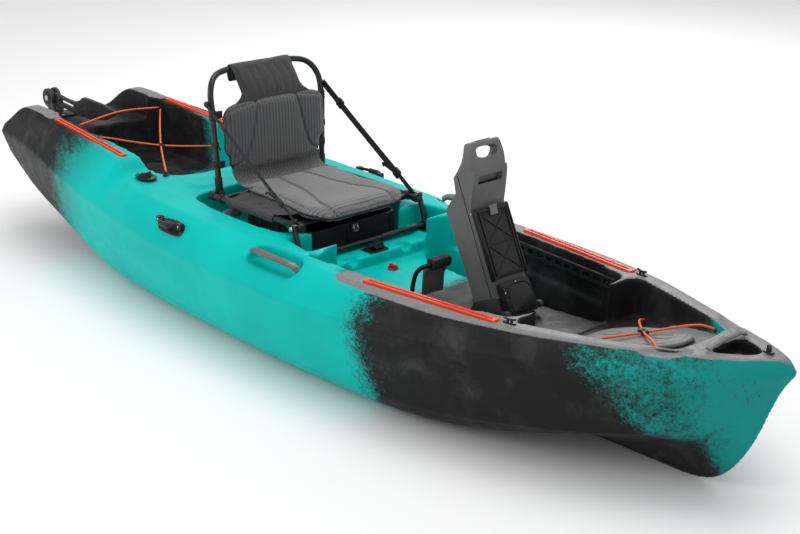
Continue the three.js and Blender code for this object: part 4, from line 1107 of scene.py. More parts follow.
def make_small_deck_parts():
    kept("drain_plug", RED, 1.6, 3)
    kept("step_latch_base", BLACK_GLOSS, 1.2, 3)
    kept("step_latch_lever", BLACK_GLOSS, 1.2, 3)
    for x, y in ((150, 30), (130, -30)):
        screw(f"latch_screw_{x}", (x, y, 290.4), (0, 0, 1), 2.6)
    for word, s in SIDES:
        kept(f"foot_rail_{word}", BLACK, 1.0)
        # cleat at the front end of the forward track
        a, b = Vector((922, s * 266, 362)), Vector((962, s * 260, 362.5))
        along = (b - a).normalized()
        mid = (a + b) / 2
        plan = [(mid.x + along.x * u - along.y * v, mid.y + along.y * u + along.x * v) for u, v in rect(20, 6)]
        base = bevelled(mesh_object("base", *prism(rounded(plan), 359.5, 363.5)), 1, 2)
        curve = [mid + along * d + Vector((0, 0, h)) for d, h in ((-17, 11), (0, 8.5), (17, 11))]
        horns = pipe("horns", curve, 3.1, 14, per=6)
        posts = [disc("post", mid + along * d, (0, 0, 1), 3.4, 9, 16) for d in (-6, 6)]
        finished(merged(f"cleat_{word}", [base, horns, *posts]), BLACK_GLOSS, "boat")
        # grey hooked bracket under the seat rail
        hooked = [(258, 296), (258, 371), (206, 371), (200, 366), (200, 350), (206, 345), (222, 342), (230, 332),
                  (230, 318), (222, 308), (214, 304), (210, 296)]
        plate = mesh_object("plate", *skin([[(x, s * y, z) for y, z in hooked] for x in (-239, -233)]))
        shelf = block(-252, -233, *span(s, 257, 261), 296, 366)
        bracket = bevelled(merged(f"seat_bracket_{word}", [plate, shelf]), 0.8, 2)
        finished(bracket, CONSOLE_GREY, "boat")
        # block that the seat's front bar drops into
        block_plan = rounded([(112, s * 214), (158, s * 214), (158, s * 240), (112, s * 240)], 2)
        mount = bevelled(mesh_object(f"bar_rest_{word}", *prism(block_plan, 286.6, 291.5)), 1, 2)
        finished(mount, BLACK_GLOSS, "boat")
        screw(f"bar_rest_screw_{word}", (146, s * 227, 291.2), (0, 0, 1), 4.5)
        # rail fixing knobs
        for x in (440, 850):
            y = s * (278 - (x - 420) * 0.11)
            knob = disc(f"rail_fixing_{word}_{x}", (x, y, 319), (0, -s, 0), 5, 4, 20, 1)
            finished(knob, BLACK_GLOSS, "boat")


# ------------------------------------------------------------------ rudder and drive
def make_rudder():
    kept("rudder_bracket", BLACK, 1.2)
    kept("rudder_yoke", DARK, 1.6, 3)
    kept("rudder_blade", RUDDER_BLACK, 2.2, 3)
    for name in ("rudder_steer_pin", "rudder_hub_pin"):
        kept(name, STEEL, 0.8)
    for letter, s in (("s", -1), ("p", 1)):
        ring = disc(f"yoke_cap_{letter}", (-1672, s * 19.6, 420), (0, s, 0), 24, 2.6, 36, 1.2)
        finished(ring, BLACK, "rudder_head")
        nut = disc(f"yoke_bolt_{letter}", (-1672, s * 22.2, 420), (0, s, 0), 8, 2.6, 6, 0.4)
        finished(nut, STEEL, "rudder_head")
    bosses = []
    for i in range(4):
        for s in (1, -1):
            bosses.append(disc("dot", (-1500 + i * 42, s * 6.6, 427 - i * 1.5), (0, s, 0), 5, 0.9, 20, 0.3))
    finished(merged("rudder_blade_bosses", bosses), BLACK, "rudder")
    for i, (x, y) in enumerate(((-1590, 30), (-1590, -30), (-1545, 30), (-1545, -30))):
        screw(f"bracket_bolt_{i}", (x, y, 379.6), (0, 0, 1), 5)


SHAFT_Z, PROPELLER_X = 118, 641


def make_drive():
    kept("drive_column", STEEL, 1.2)
    profile = [(0.5, 666), (16, 666), (22, 668), (29, 678), (33, 688), (34, 700), (34, 812), (33, 824), (30, 838)]
    profile += [(24, 852), (16, 862), (8, 867), (0.5, 868)]
    pod = turned("motor_pod_body", profile, 0, SHAFT_Z, 40)
    bore = tool_rod((655, 0, SHAFT_Z), (700, 0, SHAFT_Z), 6.4)
    socket = on_console(block(-60.4, -23.6, -17.4, 17.4, -112.4, 330))
    bands = [disc("band", (x, 0, SHAFT_Z), (1, 0, 0), 34.8, 4, 40, 0.8) for x in (704, 806)]
    carved(boolean(pod, bands, "UNION"), [bore, socket], 40)
    discard(bands)
    finished(pod, BLACK, "drive_leg", ["motor_pod"])
    kept("battery_pack", DARK, 3, 3)

    hub_profile = [(0.4, -23.6), (8, -22.5), (13.5, -18), (19, -9), (22, 1), (22, 19), (21, 20), (0.4, 20)]
    parts = [turned("boss", hub_profile, PROPELLER_X, SHAFT_Z, 36)]
    parts.append(pipe("shaft", [(655, 0, SHAFT_Z), (690, 0, SHAFT_Z)], 6, 20, straight=True))
    for side in (1, -1):
        rings = []
        for i in range(15):
            t = i / 14
            radius = 14 + 67.5 * t
            chord = 17 * math.sin(math.pi * (0.16 + 0.80 * t)) ** 0.7 + 1.5
            pitch = math.atan2(34, radius)
            ring = []
            for u, v in ellipse(chord, 3.0 * (1 - t) + 1.0, 20):
                x = u * math.sin(pitch) + v * math.cos(pitch)
                y = u * math.cos(pitch) - v * math.sin(pitch) + 6 * t * t
                ring.append((PROPELLER_X + x, y * side, SHAFT_Z + radius * side))
            rings.append(ring)
        parts.append(mesh_object("blade", *skin(rings), smooth=60))
    finished(merged("propeller_casting", parts), BLACK_GLOSS, "screw", ["propeller"])


# ------------------------------------------------------------------ drive console
# The console's own frame stands on the deck at its foot and leans aft.
CONSOLE = Matrix.Translation(Vector((735, 0, 250)) * MM) @ Matrix.Rotation(math.radians(-24), 4, "Y")


def on_console(piece):
    piece.data.transform(CONSOLE)
    return piece


def console_point(x, y, z):
    return tuple(CONSOLE @ (Vector((x, y, z)) * MM) / MM)


def foot_box_face(z):
    """How far the slanted front of the foot box lies from its front at the bottom."""
    return -(z - 3) * 7 / 81


def local_prism(name, outline, low, high, bevel, segments):
    """A side outline in the console's own frame, carried across, with eased edges."""
    return bevelled(mesh_object(name, *prism(outline, low, high, "xz")), bevel, segments)


def cover_ribs():
    """Raised crossing ribs in two bays of the ribbed cover, lying on its slanted face."""
    parts = []

    def rib(y0, z0, y1, z1, width=1.6, height=2.2):
        a, b = (Vector((13.2 - (z - 112) * 4 / 188, y, z)) for y, z in ((y0, z0), (y1, z1)))
        along = (b - a).normalized()
        out = Vector((1, 0, 0.02)).normalized()
        side = along.cross(out).normalized()
        section = ((-1, -1.5), (1, -1.5), (0.55, height), (-0.55, height))
        rings = [[p + side * u * width + out * h for u, h in section] for p in (a, b)]
        parts.append(mesh_object("rib", *skin(rings), smooth=30))

    for z0, z1 in ((122, 206), (206, 292)):
        rib(-50, z0, 50, z1)
        rib(50, z0, -50, z1)
        rib(-52, z1, 52, z1)
    rib(-52, 122, 52, 122)
    rib(-52, 120, -52, 296, 3.4, 4.2)
    rib(52, 120, 52, 296, 3.4, 4.2)
    for i in range(14):
        y = -45 + i * 7
        rib(y, 113, y, 118.5, 1.0, 2.0)
    return merged("console_cover_ribs", parts)


def make_console():
    kept("console_rear_shell", CONSOLE_GREY, 6, 4)
    # front half of the housing: one neck that widens into the lifting handle, with a hollow under the grip
    outer = [(-16, 60), (0, 60), (-3, 310), (3, 322), (14, 340), (34, 376), (45, 398), (47, 410), (-16, 410)]
    front = mesh_object("console_front_moulding", *prism(outer, -66, 66, "xz"))
    hollows = (
        ([(14, 372), (60, 372), (60, 392), (24, 392)], 46),
        ([(6, 326), (60, 326), (60, 372), (38, 372), (34, 366)], 7),
        ([(-30, 50), (-4, 50), (-7, 311), (8, 340), (12, 366), (12, 405), (-30, 405)], 62),
    )
    carved(front, [mesh_object("tool", *prism(side, -half, half, "xz")) for side, half in hollows], 40)
    # a near-black plate at the back of the hollow under the grip: painted shadow
    shadow_strip = on_console(bevelled(block(14.6, 17, -45, 45, 372.5, 391), 0.8, 2))
    shadow_strip.name = "console_hollow_shadow"
    finished(shadow_strip, PAINTED_SLOT_SHADE, "boat")

    # the handle: both cheeks lean forward into a round bar
    rows = []
    for z, x0, x1, half in ((409.7, -33, 47, 66), (424, -10, 49, 68), (440, 11, 51, 68.5), (458, 23, 53, 66),
                            (474, 28, 54, 63), (482, 30, 52.5, 60), (486, 33, 48, 57)):
        rows.append([(x0, -half + 3, z), (x0, half - 3, z), (x0 + 4, half, z), (x1 - 6, half, z),
                     (x1, half - 7, z), (x1, -half + 7, z), (x1 - 6, -half, z), (x0 + 4, -half, z)])
    grip = mesh_object("tool", *skin(rows), smooth=30)
    plan = rounded([(-43, 470), (-39, 439), (39, 439), (43, 470)], 2, 0.2)
    window = mesh_object("tool", *prism(plan, -60, 90, "yz"))
    carved(grip, [window], 30)
    baked(boolean(front, [grip], "UNION"), 32)
    discard([grip])
    finished(on_console(bevelled(front, 3.0, 4, 32)), CONSOLE_GREY, "boat",
             ["console_front_shell", "console_handle"])
    ribs = [block(29, 51, y - 1.6, y + 1.6, 484.5, 487.4) for y in (-24, -16, -8, 0, 8, 16, 24)]
    finished(on_console(bevelled(merged("console_grip_ribs", ribs), 0.9, 2)), DARK, "boat")
    kept("console_cover", BLACK, 2.5, 3)
    kept("console_cover_latch", LATCH_STEEL, 1.2, 3)
    kept("console_foot_box", BLACK, 5, 4)
    kept("console_base", DARK, 4, 3)
    finished(bevelled(on_console(cover_ribs()), 0.3, 2), BLACK, "boat")

    # sealing frame round the cover, standing proud on the starboard and port edges
    frames = []
    for s in (-1, 1):
        side = [(1, 108), (17.5, 108), (13, 306), (1, 309)]
        frames.append(local_prism("edge", side, *span(s, 59, 64.5), 2, 3))
    frames.append(local_prism("edge", [(1, 296), (14, 296), (12, 309), (1, 309)], -62, 62, 2, 3))
    finished(on_console(merged("console_cover_frame", frames)), BLACK_GLOSS, "boat")

    # rounded door on the foot box, with a rubber gasket and screws round it
    plan = rounded([(-41, 9), (41, 9), (44, 30), (40, 84), (-40, 84), (-44, 30)], 2, 0.2)
    rings = []
    for grow, lift in ((2.5, 0), (2.5, 2.6), (0, 3.4), (0, 5.4), (-3, 6.4)):
        rings.append([(31.2 + lift + foot_box_face(z), y, z) for y, z in grown(plan, grow)])
    door = on_console(mesh_object("console_foot_door", *skin(rings), smooth=35))
    finished(door, BLACK_GLOSS, "boat")
    ring = [Vector((32.6 + foot_box_face(z), y, z)) for y, z in grown(plan, 6)]
    rim = mesh_object("console_foot_gasket", *swept([*ring, ring[0]], circle(2.2, 10), straight=True), smooth=60)
    finished(on_console(rim), RUBBER, "boat")
    for i, (y, z) in enumerate(((-47, 50), (47, 50), (-47, 70), (47, 30), (0, 92), (-47, 20))):
        place = console_point(30.5 + foot_box_face(z), y, z)
        screw(f"foot_box_screw_{i}", place, CONSOLE.to_3x3() @ Vector((1, 0, 0.08)), 3.2)

    # the seam between the two halves of the housing
    section = rounded(rect(0.9, 0.9), 1)
    seams = [swept([(-16.2, y, 62), (-16.2, y, 408)], section, straight=True) for y in (-66.2, 66.2)]
    seam = merged("console_seam_shadow", [mesh_object("line", *shape) for shape in seams])
    finished(on_console(seam), PAINTED_SLOT_SHADE, "boat")
    for letter, s in (("s", -1), ("p", 1)):
        screw(f"console_side_screw_{letter}", console_point(-6, s * 66.4, 300), (0, s, 0), 3)
    # flared skirt and side latches at the foot
    skirt = [(-118, -1), (-104, 50), (-86, 66), (2, 66), (6, -1)]
    parts = []
    for s in (-1, 1):
        parts.append(local_prism("skirt", skirt, *span(s, 65, 69), 1.6, 2))
        lug = rounded([(8, 4), (34, 4), (34, 22), (8, 26)], 1)
        parts.append(local_prism("lug", lug, *span(s, 58, 72), 1.6, 2))
    finished(on_console(merged("console_skirt", parts)), DARK, "boat")

    # throttle knob with a knurled edge
    (n, a, b), c = frame_of((-38, 0, 58)), Vector((-71, 0, 349))
    rings = []
    for h, r, k in ((0.8, 25, 0), (4.6, 24.5, 0), (5.2, 19, 0.8), (15, 18.2, 0.8), (17.4, 16.5, 0.5), (18, 14, 0)):
        ring = []
        for t in np.arange(96) * TURN / 96:
            radius = r + k * math.cos(16 * t)
            ring.append(c + n * h + a * radius * math.cos(t) + b * radius * math.sin(t))
        rings.append(ring)
    knob = on_console(mesh_object("throttle_knob", *skin(rings), smooth=32))
    finished(knob, BLACK_GLOSS, "throttle", ["speed_knob"])
    rings = [[c + n * h + a * (9.5 + u) + b * v for u, v in rect(5.5, 1)] for h in (17.6, 18.5)]
    finished(on_console(mesh_object("throttle_pointer", *skin(rings))), ORANGE, "throttle")


# ------------------------------------------------------------------ steering pedals
def make_pedals():
    for word, s in SIDES:
        body = f"pedal_{word}"
        kept(f"pedal_foot_{word}", BLACK, 1.0)
        path = ((492, 176, 152), (494, 176, 240), (502, 176, 322), (512, 172, 356), (527, 164, 372), (530, 150, 374),
                (530, 120, 374), (530, 68.5, 374))
        arm = pipe("arm", [(x, s * y, z) for x, y, z in path], 6.5)
        hub = disc("hub", (492, s * 176 - 12, 150), (0, 1, 0), 13, 24, 28, 2)
        carved(hub, [tool_rod((492, s * 176 - 40, 150), (492, s * 176 + 40, 150), 5.4)], 35)
        finished(merged(f"pedal_arm_{word}_bar", [arm, hub]), BLACK_GLOSS, body, [f"pedal_arm_{word}"])
        plan = [(506, 278), (512, 278), (517, 350), (517, 357), (511, 357)]
        rows = []
        for across in np.linspace(-1, 1, 13):
            bow = 5 * (1 - across**2)
            rows.append([(x - bow * (1 - (z - 278) / 90), s * 109 + across * 40, z) for x, z in plan])
        plate = bevelled(mesh_object(f"pedal_plate_{word}", *skin(rows)), 1.2, 2, 40)
        finished(plate, CONSOLE_GREY, body)
        ribs = []
        for y in (71.5, 146):
            outline = [(511, 334), (517, 334), (533, 371), (527, 377), (511, 357)]
            ribs.append(mesh_object("rib", *prism(outline, s * y - 2.5, s * y + 2.5, "xz")))
        finished(bevelled(merged(f"pedal_gusset_{word}", ribs), 0.8, 2), CONSOLE_GREY, body)
        outline = rounded([(516, 362), (545, 358), (548, 389), (518, 392)], 2, 0.2)
        pad = mesh_object("pad", *prism(outline, s * 107 - 33, s * 107 + 33, "xz"))
        grooves = []
        for i in range(5):
            y = s * 107 - 24 + i * 12
            grooves.append(block(543, 560, y - 1.2, y + 1.2, 340, 400))
            grooves.append(block(510, 560, y - 1.2, y + 1.2, 388.5, 400))
        bore = tool_rod((530, s * 60, 374), (530, s * 170, 374), 8.2)
        carved(pad, [*grooves, bore], 35)
        pad.name = f"pedal_pad_{word}_rubber"
        finished(pad, RUBBER, body, [f"pedal_pad_{word}"])


# ------------------------------------------------------------------ seat
RAIL_Y, RAIL_Z = 229, 386


def frame_tubes():
    tubes = []
    for s in (-1, 1):
        tubes.append(pipe("rail", [(-346, s * RAIL_Y, RAIL_Z), (84, s * RAIL_Y, RAIL_Z)], 11, 24, straight=True))
    for x in (-298, 48):
        tubes.append(pipe("cross", [(x, -229, 384), (x, 229, 384)], 9.5, 24, straight=True))
    finished(merged("seat_frame_tubes", tubes), TUBE, "boat", ["seat_base_frame"])
    for word, s in SIDES:
        for name, x, d in (("rear", -342, -1), ("front", 80, 1)):
            cap = disc(f"rail_cap_{word}_{name}", (x, s * RAIL_Y, RAIL_Z), (d, 0, 0), 13.2, 14, 28, 3)
            finished(cap, BLACK, "boat")
        clamps = [disc("clamp", (x, s * RAIL_Y, RAIL_Z), (1, 0, 0), 13.6, 18, 28, 1.5) for x in (-347, -307, 39)]
        finished(merged(f"rail_clamps_{word}", clamps), BLACK, "boat")


def legs():
    parts = []
    for s in (-1, 1):
        parts.append(pipe("leg", [(77, s * 250, 394), (111, s * 250, 302)], 8.5, 22, straight=True))
        parts.append(disc("boss", (74, span(s, 241, 259)[0], 387), (0, 1, 0), 12, 18, 28, 1.5))
    parts.append(pipe("bar", [(111, -257, 302), (111, 257, 302)], 10, 24, straight=True))
    finished(merged("seat_leg_tubes", parts), TUBE, "front_legs", ["seat_legs"])
    for word, s in SIDES:
        rivet = disc(f"leg_rivet_{word}", (74, s * 258.6, 387), (0, s, 0), 7.5, 2.2, 24, 1.4)
        finished(rivet, STEEL, "front_legs")
        joint = disc(f"leg_knuckle_{word}", (111, s * 236, 302), (0, s, 0), 13.5, 24, 28, 2.5)
        finished(joint, BLACK, "front_legs")
        # side plate between the rail and the leg
        plan = rounded([(16, 381), (20, 396), (70, 401), (88, 396), (90, 378), (70, 371)], 2, 0.25)
        plate = local_prism(f"leg_bracket_{word}", plan, *span(s, 238.5, 240.8), 0.5, 2)
        finished(plate, BLACK, "boat")


def hoop():
    half = [(-338, -206, 390), (-342, -212, 520), (-348, -216, 640), (-362, -211, 706), (-380, -184, 744),
            (-394, -134, 757)]
    path = [*half, *[(x, -y, z) for x, y, z in reversed(half)]]
    tube = pipe("seat_hoop_tube", path, 9.5, 24, per=10)
    finished(tube, TUBE, "seat_back", ["seat_back_hoop"])
    for word, s in SIDES:
        sleeve = pipe("sleeve", [(-338, s * 206.2, 391), (-340, s * 208.6, 442)], 12, 24, straight=True)
        knuckle = disc("knuckle", (-338, s * 198, 391), (0, s, 0), 15, 16, 28, 2)
        both = merged(f"hoop_foot_{word}", [bevelled(sleeve, 1.2, 2, 50), knuckle])
        finished(both, BLACK, "seat_back")
        rivet = disc(f"hoop_rivet_{word}", (-338, s * 213.8, 391), (0, s, 0), 6, 2, 20, 1)
        finished(rivet, STEEL, "seat_back")
        collars = []
        for x, y, z in ((-343, 213.2, 546), (-347.5, 215.6, 632)):
            ends = [(x, s * y, z - 9), (x - 0.6, s * y, z + 9)]
            collars.append(pipe("collar", ends, 12, 24, straight=True))
        finished(bevelled(merged(f"hoop_collars_{word}", collars), 1.4, 2, 50), BLACK, "seat_back")


def pad_shape(name, middle, thick, nu, nv, power):
    """A closed skin over a curved middle sheet: middle(u, v) is the sheet, and thick(u, v) its depth each way."""

    def squared(a, b):
        """Maps the square of (a, b) onto a rounded square."""
        r = max(abs(a), abs(b))
        if r < 1e-9:
            return 0.0, 0.0
        norm = (abs(a) ** power + abs(b) ** power) ** (1 / power)
        return a * r / norm, b * r / norm

    front, back = [], []
    eps = 1e-3
    for i in range(nu + 1):
        for j in range(nv + 1):
            a, b = (math.sin((k - 0.5) * math.pi) for k in (i / nu, j / nv))
            u, v = squared(a, b)
            p = Vector(middle(u, v))
            n = (Vector(middle(u + eps, v)) - p).cross(Vector(middle(u, v + eps)) - p).normalized()
            rim = max(abs(a), abs(b))
            depth = thick(u, v) * (0.38 + 0.62 * max(0.0, 1 - rim**6) ** 0.5)
            front.append(p + n * depth)
            back.append(p - n * depth)
    count = len(front)
    index = lambda i, j: i * (nv + 1) + j
    faces = []
    for i in range(nu):
        for j in range(nv):
            q = (index(i, j), index(i + 1, j), index(i + 1, j + 1), index(i, j + 1))
            faces.append(q)
            faces.append(tuple(count + k for k in reversed(q)))
    edge = [(i, 0) for i in range(nu)] + [(nu, j) for j in range(nv)]
    edge += [(nu - i, nv) for i in range(nu)] + [(0, nv - j) for j in range(nv)]
    for a, b in zip(edge, edge[1:] + edge[:1]):
        faces.append((index(*b), index(*a), count + index(*a), count + index(*b)))
    pad = mesh_object(name, [*front, *back], faces, smooth=0)
    with_bmesh(pad.data, lambda bm: bmesh.ops.remove_doubles(bm, verts=bm.verts, dist=0.05 * MM))
    return pad


def stuffed(pad, cap, voxel=5.0, pressure=4.0):
    """Blows the pad up like foam pressed into its cover: cloth with pressure, no point moving further than cap."""
    remesh = pad.modifiers.new("remesh", "REMESH")
    remesh.mode, remesh.voxel_size = "VOXEL", voxel * MM
    baked(pad, 0)
    rest = vertex_values(pad)
    cloth = pad.modifiers.new("cloth", "CLOTH")
    settings, cache = cloth.settings, cloth.point_cache
    settings.use_pressure = True
    settings.uniform_pressure_force = pressure
    settings.quality = 4
    settings.mass = 0.4
    settings.tension_stiffness = settings.compression_stiffness = 18
    settings.effector_weights.gravity = 0
    cache.frame_start, cache.frame_end = 1, 20
    for frame_number in range(1, 21):
        bpy.context.scene.frame_set(frame_number)
    baked(pad, 0)
    bpy.context.scene.frame_set(1)
    move = vertex_values(pad) - rest
    scale = np.minimum(1, cap * MM / np.maximum(np.linalg.norm(move, axis=1), 1e-9))
    set_coordinates(pad, rest + move * scale[:, None])
    finer = pad.modifiers.new("finer", "SUBSURF")
    finer.levels = finer.render_levels = 1
    return baked(pad, 0)


def pressed_seams(pad, seams, axes, facing, depth, width, puff=0.0):
    """Sews lines into one face of a pad: each seam is a list of points in the two given axes."""
    co = vertex_values(pad) / MM
    n = vertex_values(pad, "normal")
    flat = co[:, axes]
    best = np.full(len(co), 1e9)
    for seam in seams:
        pts = np.array(seam, float)
        for a, b in zip(pts, pts[1:]):
            d = b - a
            t = np.clip(((flat - a) @ d) / (d @ d), 0, 1)
            best = np.minimum(best, np.linalg.norm(flat - a - t[:, None] * d, axis=1))
    share = smoothstep(-0.1, 0.5, n @ np.array(facing, float))
    push = -depth * np.exp(-((best / width) ** 2)) + puff * (1 - np.exp(-((best / 28) ** 2)))
    set_coordinates(pad, (co + n * (push * share)[:, None]) * MM)
    return pad


HEM_POINTS, HEM_OUT = 120, 0.3
STITCH, STITCH_PITCH, THREAD_RADIUS = 3.0, 4.6, 0.45
ON_CLOTH = 0.1  # how far the stitches stand off the cloth


def surface_of(pad):
    return BVHTree.FromObject(pad, bpy.context.evaluated_depsgraph_get())


def hem_line(pad, middle, power):
    """Points round the edge of a finished pad, where it is widest."""
    tree = surface_of(pad)
    found = []
    for x, y in circle(1, HEM_POINTS):
        k = 1 / (abs(x) ** power + abs(y) ** power) ** (1 / power)
        rim, inner = (Vector(middle(x * k * share, y * k * share)) for share in (1, 0.7))
        way = (inner - rim).normalized()
        hit = tree.ray_cast((rim - way * 40) * MM, way)[0]
        found.append(tuple(hit / MM - way * HEM_OUT if hit else rim))
    return [*found, found[0]]


def curve2(points):
    """A smooth curve through points of two numbers."""
    return [(p.x, p.y) for p in curve_points([(x, y, 0) for x, y in points], 10)]


def seam_thread(name, seams, place, body):
    """Rows of short stitches beside each seam; place turns the seam's two numbers into a point on the cloth."""
    verts, faces = [], []
    for seam in seams:
        pts = [Vector(place(a, b)) for a, b in seam]
        run = [0.0]
        for a, b in zip(pts, pts[1:]):
            run.append(run[-1] + (b - a).length)

        def at(d):
            i = int(np.searchsorted(run, d))
            before, after = max(0, i - 1), min(len(pts) - 1, max(1, i))
            share = (d - run[before]) / max(1e-6, run[after] - run[before])
            return pts[before].lerp(pts[after], min(1, share))

        d = 2.0
        while d + STITCH < run[-1]:
            v, f = swept([at(d), at(d + STITCH)], circle(THREAD_RADIUS, 5), straight=True)
            faces += [tuple(i + len(verts) for i in face) for face in f]
            verts += v
            d += STITCH_PITCH
    return finished(mesh_object(name, verts, faces, smooth=60), STRAP, body)


def bound_edge(name, pad, middle, power, body):
    """Binding sewn round the edge of a pad."""
    edge = hem_line(pad, middle, power)
    binding = mesh_object(name, *swept(edge, circle(3.0, 12), straight=True), smooth=60)
    finished(binding, STRAP, body)


def on_surface(pad, axes, depth_axis, missed):
    """Looks up the pad's outermost point over two coordinates, for things that lie on the cloth.

    missed is the depth, in metres, of a point whose line of sight passes beside the pad.
    """
    tree = surface_of(pad)

    def place(a, b):
        start, way = [0.0, 0.0, 0.0], [0.0, 0.0, 0.0]
        start[axes[0]], start[axes[1]], start[depth_axis] = a * MM, b * MM, 2.0
        way[depth_axis] = -1
        hit = tree.ray_cast(Vector(start), Vector(way))[0]
        if hit is None:
            start[depth_axis] = missed
            hit = Vector(start)
        hit[depth_axis] += ON_CLOTH * MM
        return tuple(hit / MM)

    return place


def pan_side(x):
    """Half breadth of the seat pan: wide at the front, waisted behind the middle."""
    t = (x + 265) / 380
    waist = 9 * math.sin(math.pi * min(1, max(0, t / 0.75)))
    return 184 - waist + 6 * smoothstep(0.5, 0.8, t) - 154 * max(0, t - 0.86)


def make_pan():
    def middle(u, v):
        x = -74 + 192 * u
        z = 412 - 4 * math.sin((u + 1) * math.pi / 2) - 3 * u
        front = max(0.0, u - 0.7) / 0.3
        z -= 15 * front**1.8
        x -= 4 * front**2
        y = v * pan_side(x)
        z += 3.5 * abs(v) ** 2.4 * (1 - 0.6 * front)
        return (x, y, z)

    pad = pad_shape("seat_pan_pad", middle, lambda u, v: 15.5 - 2.5 * abs(v) ** 2, 56, 52, 8.0)
    stuffed(pad, 7)
    rear = [(-252, 46), (-190, 58), (-110, 66), (-40, 84), (30, 112), (80, 118), (128, 112)]
    inner = [curve2([(x, s * y) for x, y in rear]) for s in (-1, 1)]
    hems = [curve2([(x, s * (pan_side(x) - 16)) for x in range(-250, 112, 24)]) for s in (-1, 1)]
    back_hem = [[(-246, y) for y in range(-150, 151, 20)]]
    pressed_seams(pad, inner, (0, 1), (0.35, 0, 1), 5.0, 4.2, 2.5)
    pressed_seams(pad, [*hems, *back_hem], (0, 1), (0, 0, 1), 2.4, 3.4)
    finished(pad, PAN_CLOTH, "boat", ["seat_pan_cushion"])
    place = on_surface(pad, (0, 1), 2, 0.42)
    beside = [[(x, y + d) for x, y in seam] for seam in inner for d in (-5, 5)]
    seam_thread("seat_pan_stitches", beside, place, "boat")
    bound_edge("seat_pan_binding", pad, middle, 8, "boat")


WRAP_INSIDE, WRAP_OUTSIDE = 11.6, 13.3  # radii of the cloth round the rail


def make_pan_wings():
    """Cloth that runs from each side of the seat pan down and round the side rail."""
    wrap = [(RAIL_Y - WRAP_OUTSIDE * math.sin(a), RAIL_Z + WRAP_OUTSIDE * math.cos(a))
            for a in np.radians(np.arange(35, -236, -18))]
    for word, s in SIDES:
        rings = []
        for i in range(49):
            drop = []
            for k in range(10 + len(wrap)):
                t = min(1, k / 10)
                x = -257 + (283 - 64 * t + (k - 10) * 0.6 * (k > 10)) * i / 48
                near = pan_side(x) - 5
                if k < 10:
                    y, z = near + (wrap[0][0] - near) * t, 411.5 + (wrap[0][1] - 411.5) * t
                    z -= math.sin(math.pi * t) * (2.6 + 1.1 * math.sin(i * 0.55 + 2 * t))
                else:
                    y, z = wrap[k - 10]
                drop.append(Vector((x, s * y, z)))
            inner = []
            for k, p in enumerate(drop):
                if k < 10:
                    inner.append(p + Vector((0, 0, -1.7)))
                else:
                    hub = Vector((p.x, s * RAIL_Y, RAIL_Z))
                    inner.append(hub + (p - hub) * (WRAP_INSIDE / WRAP_OUTSIDE))
            rings.append([p for p in [*drop, *reversed(inner)]])
        wing = mesh_object(f"seat_pan_wing_{word}", *skin(rings), smooth=50)
        finished(wing, WING_CLOTH, "boat")


def back_curve(z):
    """Fore-and-aft place of the backrest's middle, leaning back as it rises."""
    t = (z - 455) / 213
    return -313.5 - 3 * t - 4.5 * t * t


def make_back():
    def middle(u, v):
        half = 184 + 16 * smoothstep(-0.55, -0.3, u) - 5 * smoothstep(0.7, 1, u)
        y = -v * half
        z = 560 + 106 * u + 12 * u * (1 - v * v) * smoothstep(0.2, 1, u)
        x = back_curve(z) + 3 - 6 * v * v
        return (x, y, z)

    pad = pad_shape("seat_back_pad", middle, lambda u, v: 12.0 - 3 * v * v, 60, 60, 9.0)
    stuffed(pad, 6)
    lanes = [curve2([(t * 176, 474), (t * 128, 500), (t * 110, 540), (t * 96, 590), (t * 84, 640), (t * 78, 676)])
             for t in (-1, 1)]
    hem = curve2([(-176, 478), (-120, 468), (0, 464), (120, 468), (176, 478)])
    brow = curve2([(-186, 646), (-140, 658), (-70, 668), (0, 671), (70, 668), (140, 658), (186, 646)])
    wings = [curve2([(t * 186, 640), (t * 184, 580), (t * 182, 520), (t * 170, 474)]) for t in (-1, 1)]
    pressed_seams(pad, lanes, (1, 2), (1, 0, 0.1), 5.0, 4.2, 2.5)
    pressed_seams(pad, [hem, brow, *wings], (1, 2), (1, 0, 0.1), 2.6, 3.4)
    finished(pad, BACK_CLOTH, "seat_back", ["seat_back_cushion"])
    place = on_surface(pad, (1, 2), 0, -0.34)
    close = [[(y + d, z) for y, z in lane] for lane in lanes for d in (-5, 5)]
    seam_thread("seat_back_stitches", [*close, hem], place, "seat_back")
    bound_edge("seat_back_binding", pad, middle, 9, "seat_back")
    # loops that tie the cover to the hoop
    loops = []
    for s in (-1, 1):
        for z in (484, 640):
            x = -343 - (z - 520) * 0.04
            y = s * (212 + (z - 520) * 0.03)
            rings = [[(a, b, z + h) for a, b in ellipse(11.4, 11.4, 24, x, y)] for h in (-11, 11)]
            loops.append(mesh_object("loop", *skin(rings), smooth=50))
            loops.append(block(x + 8, x + 15, *sorted((s * 190, y)), z - 11, z + 11))
    finished(bevelled(merged("seat_back_loops", loops), 0.8, 2, 40), STRAP, "seat_back")


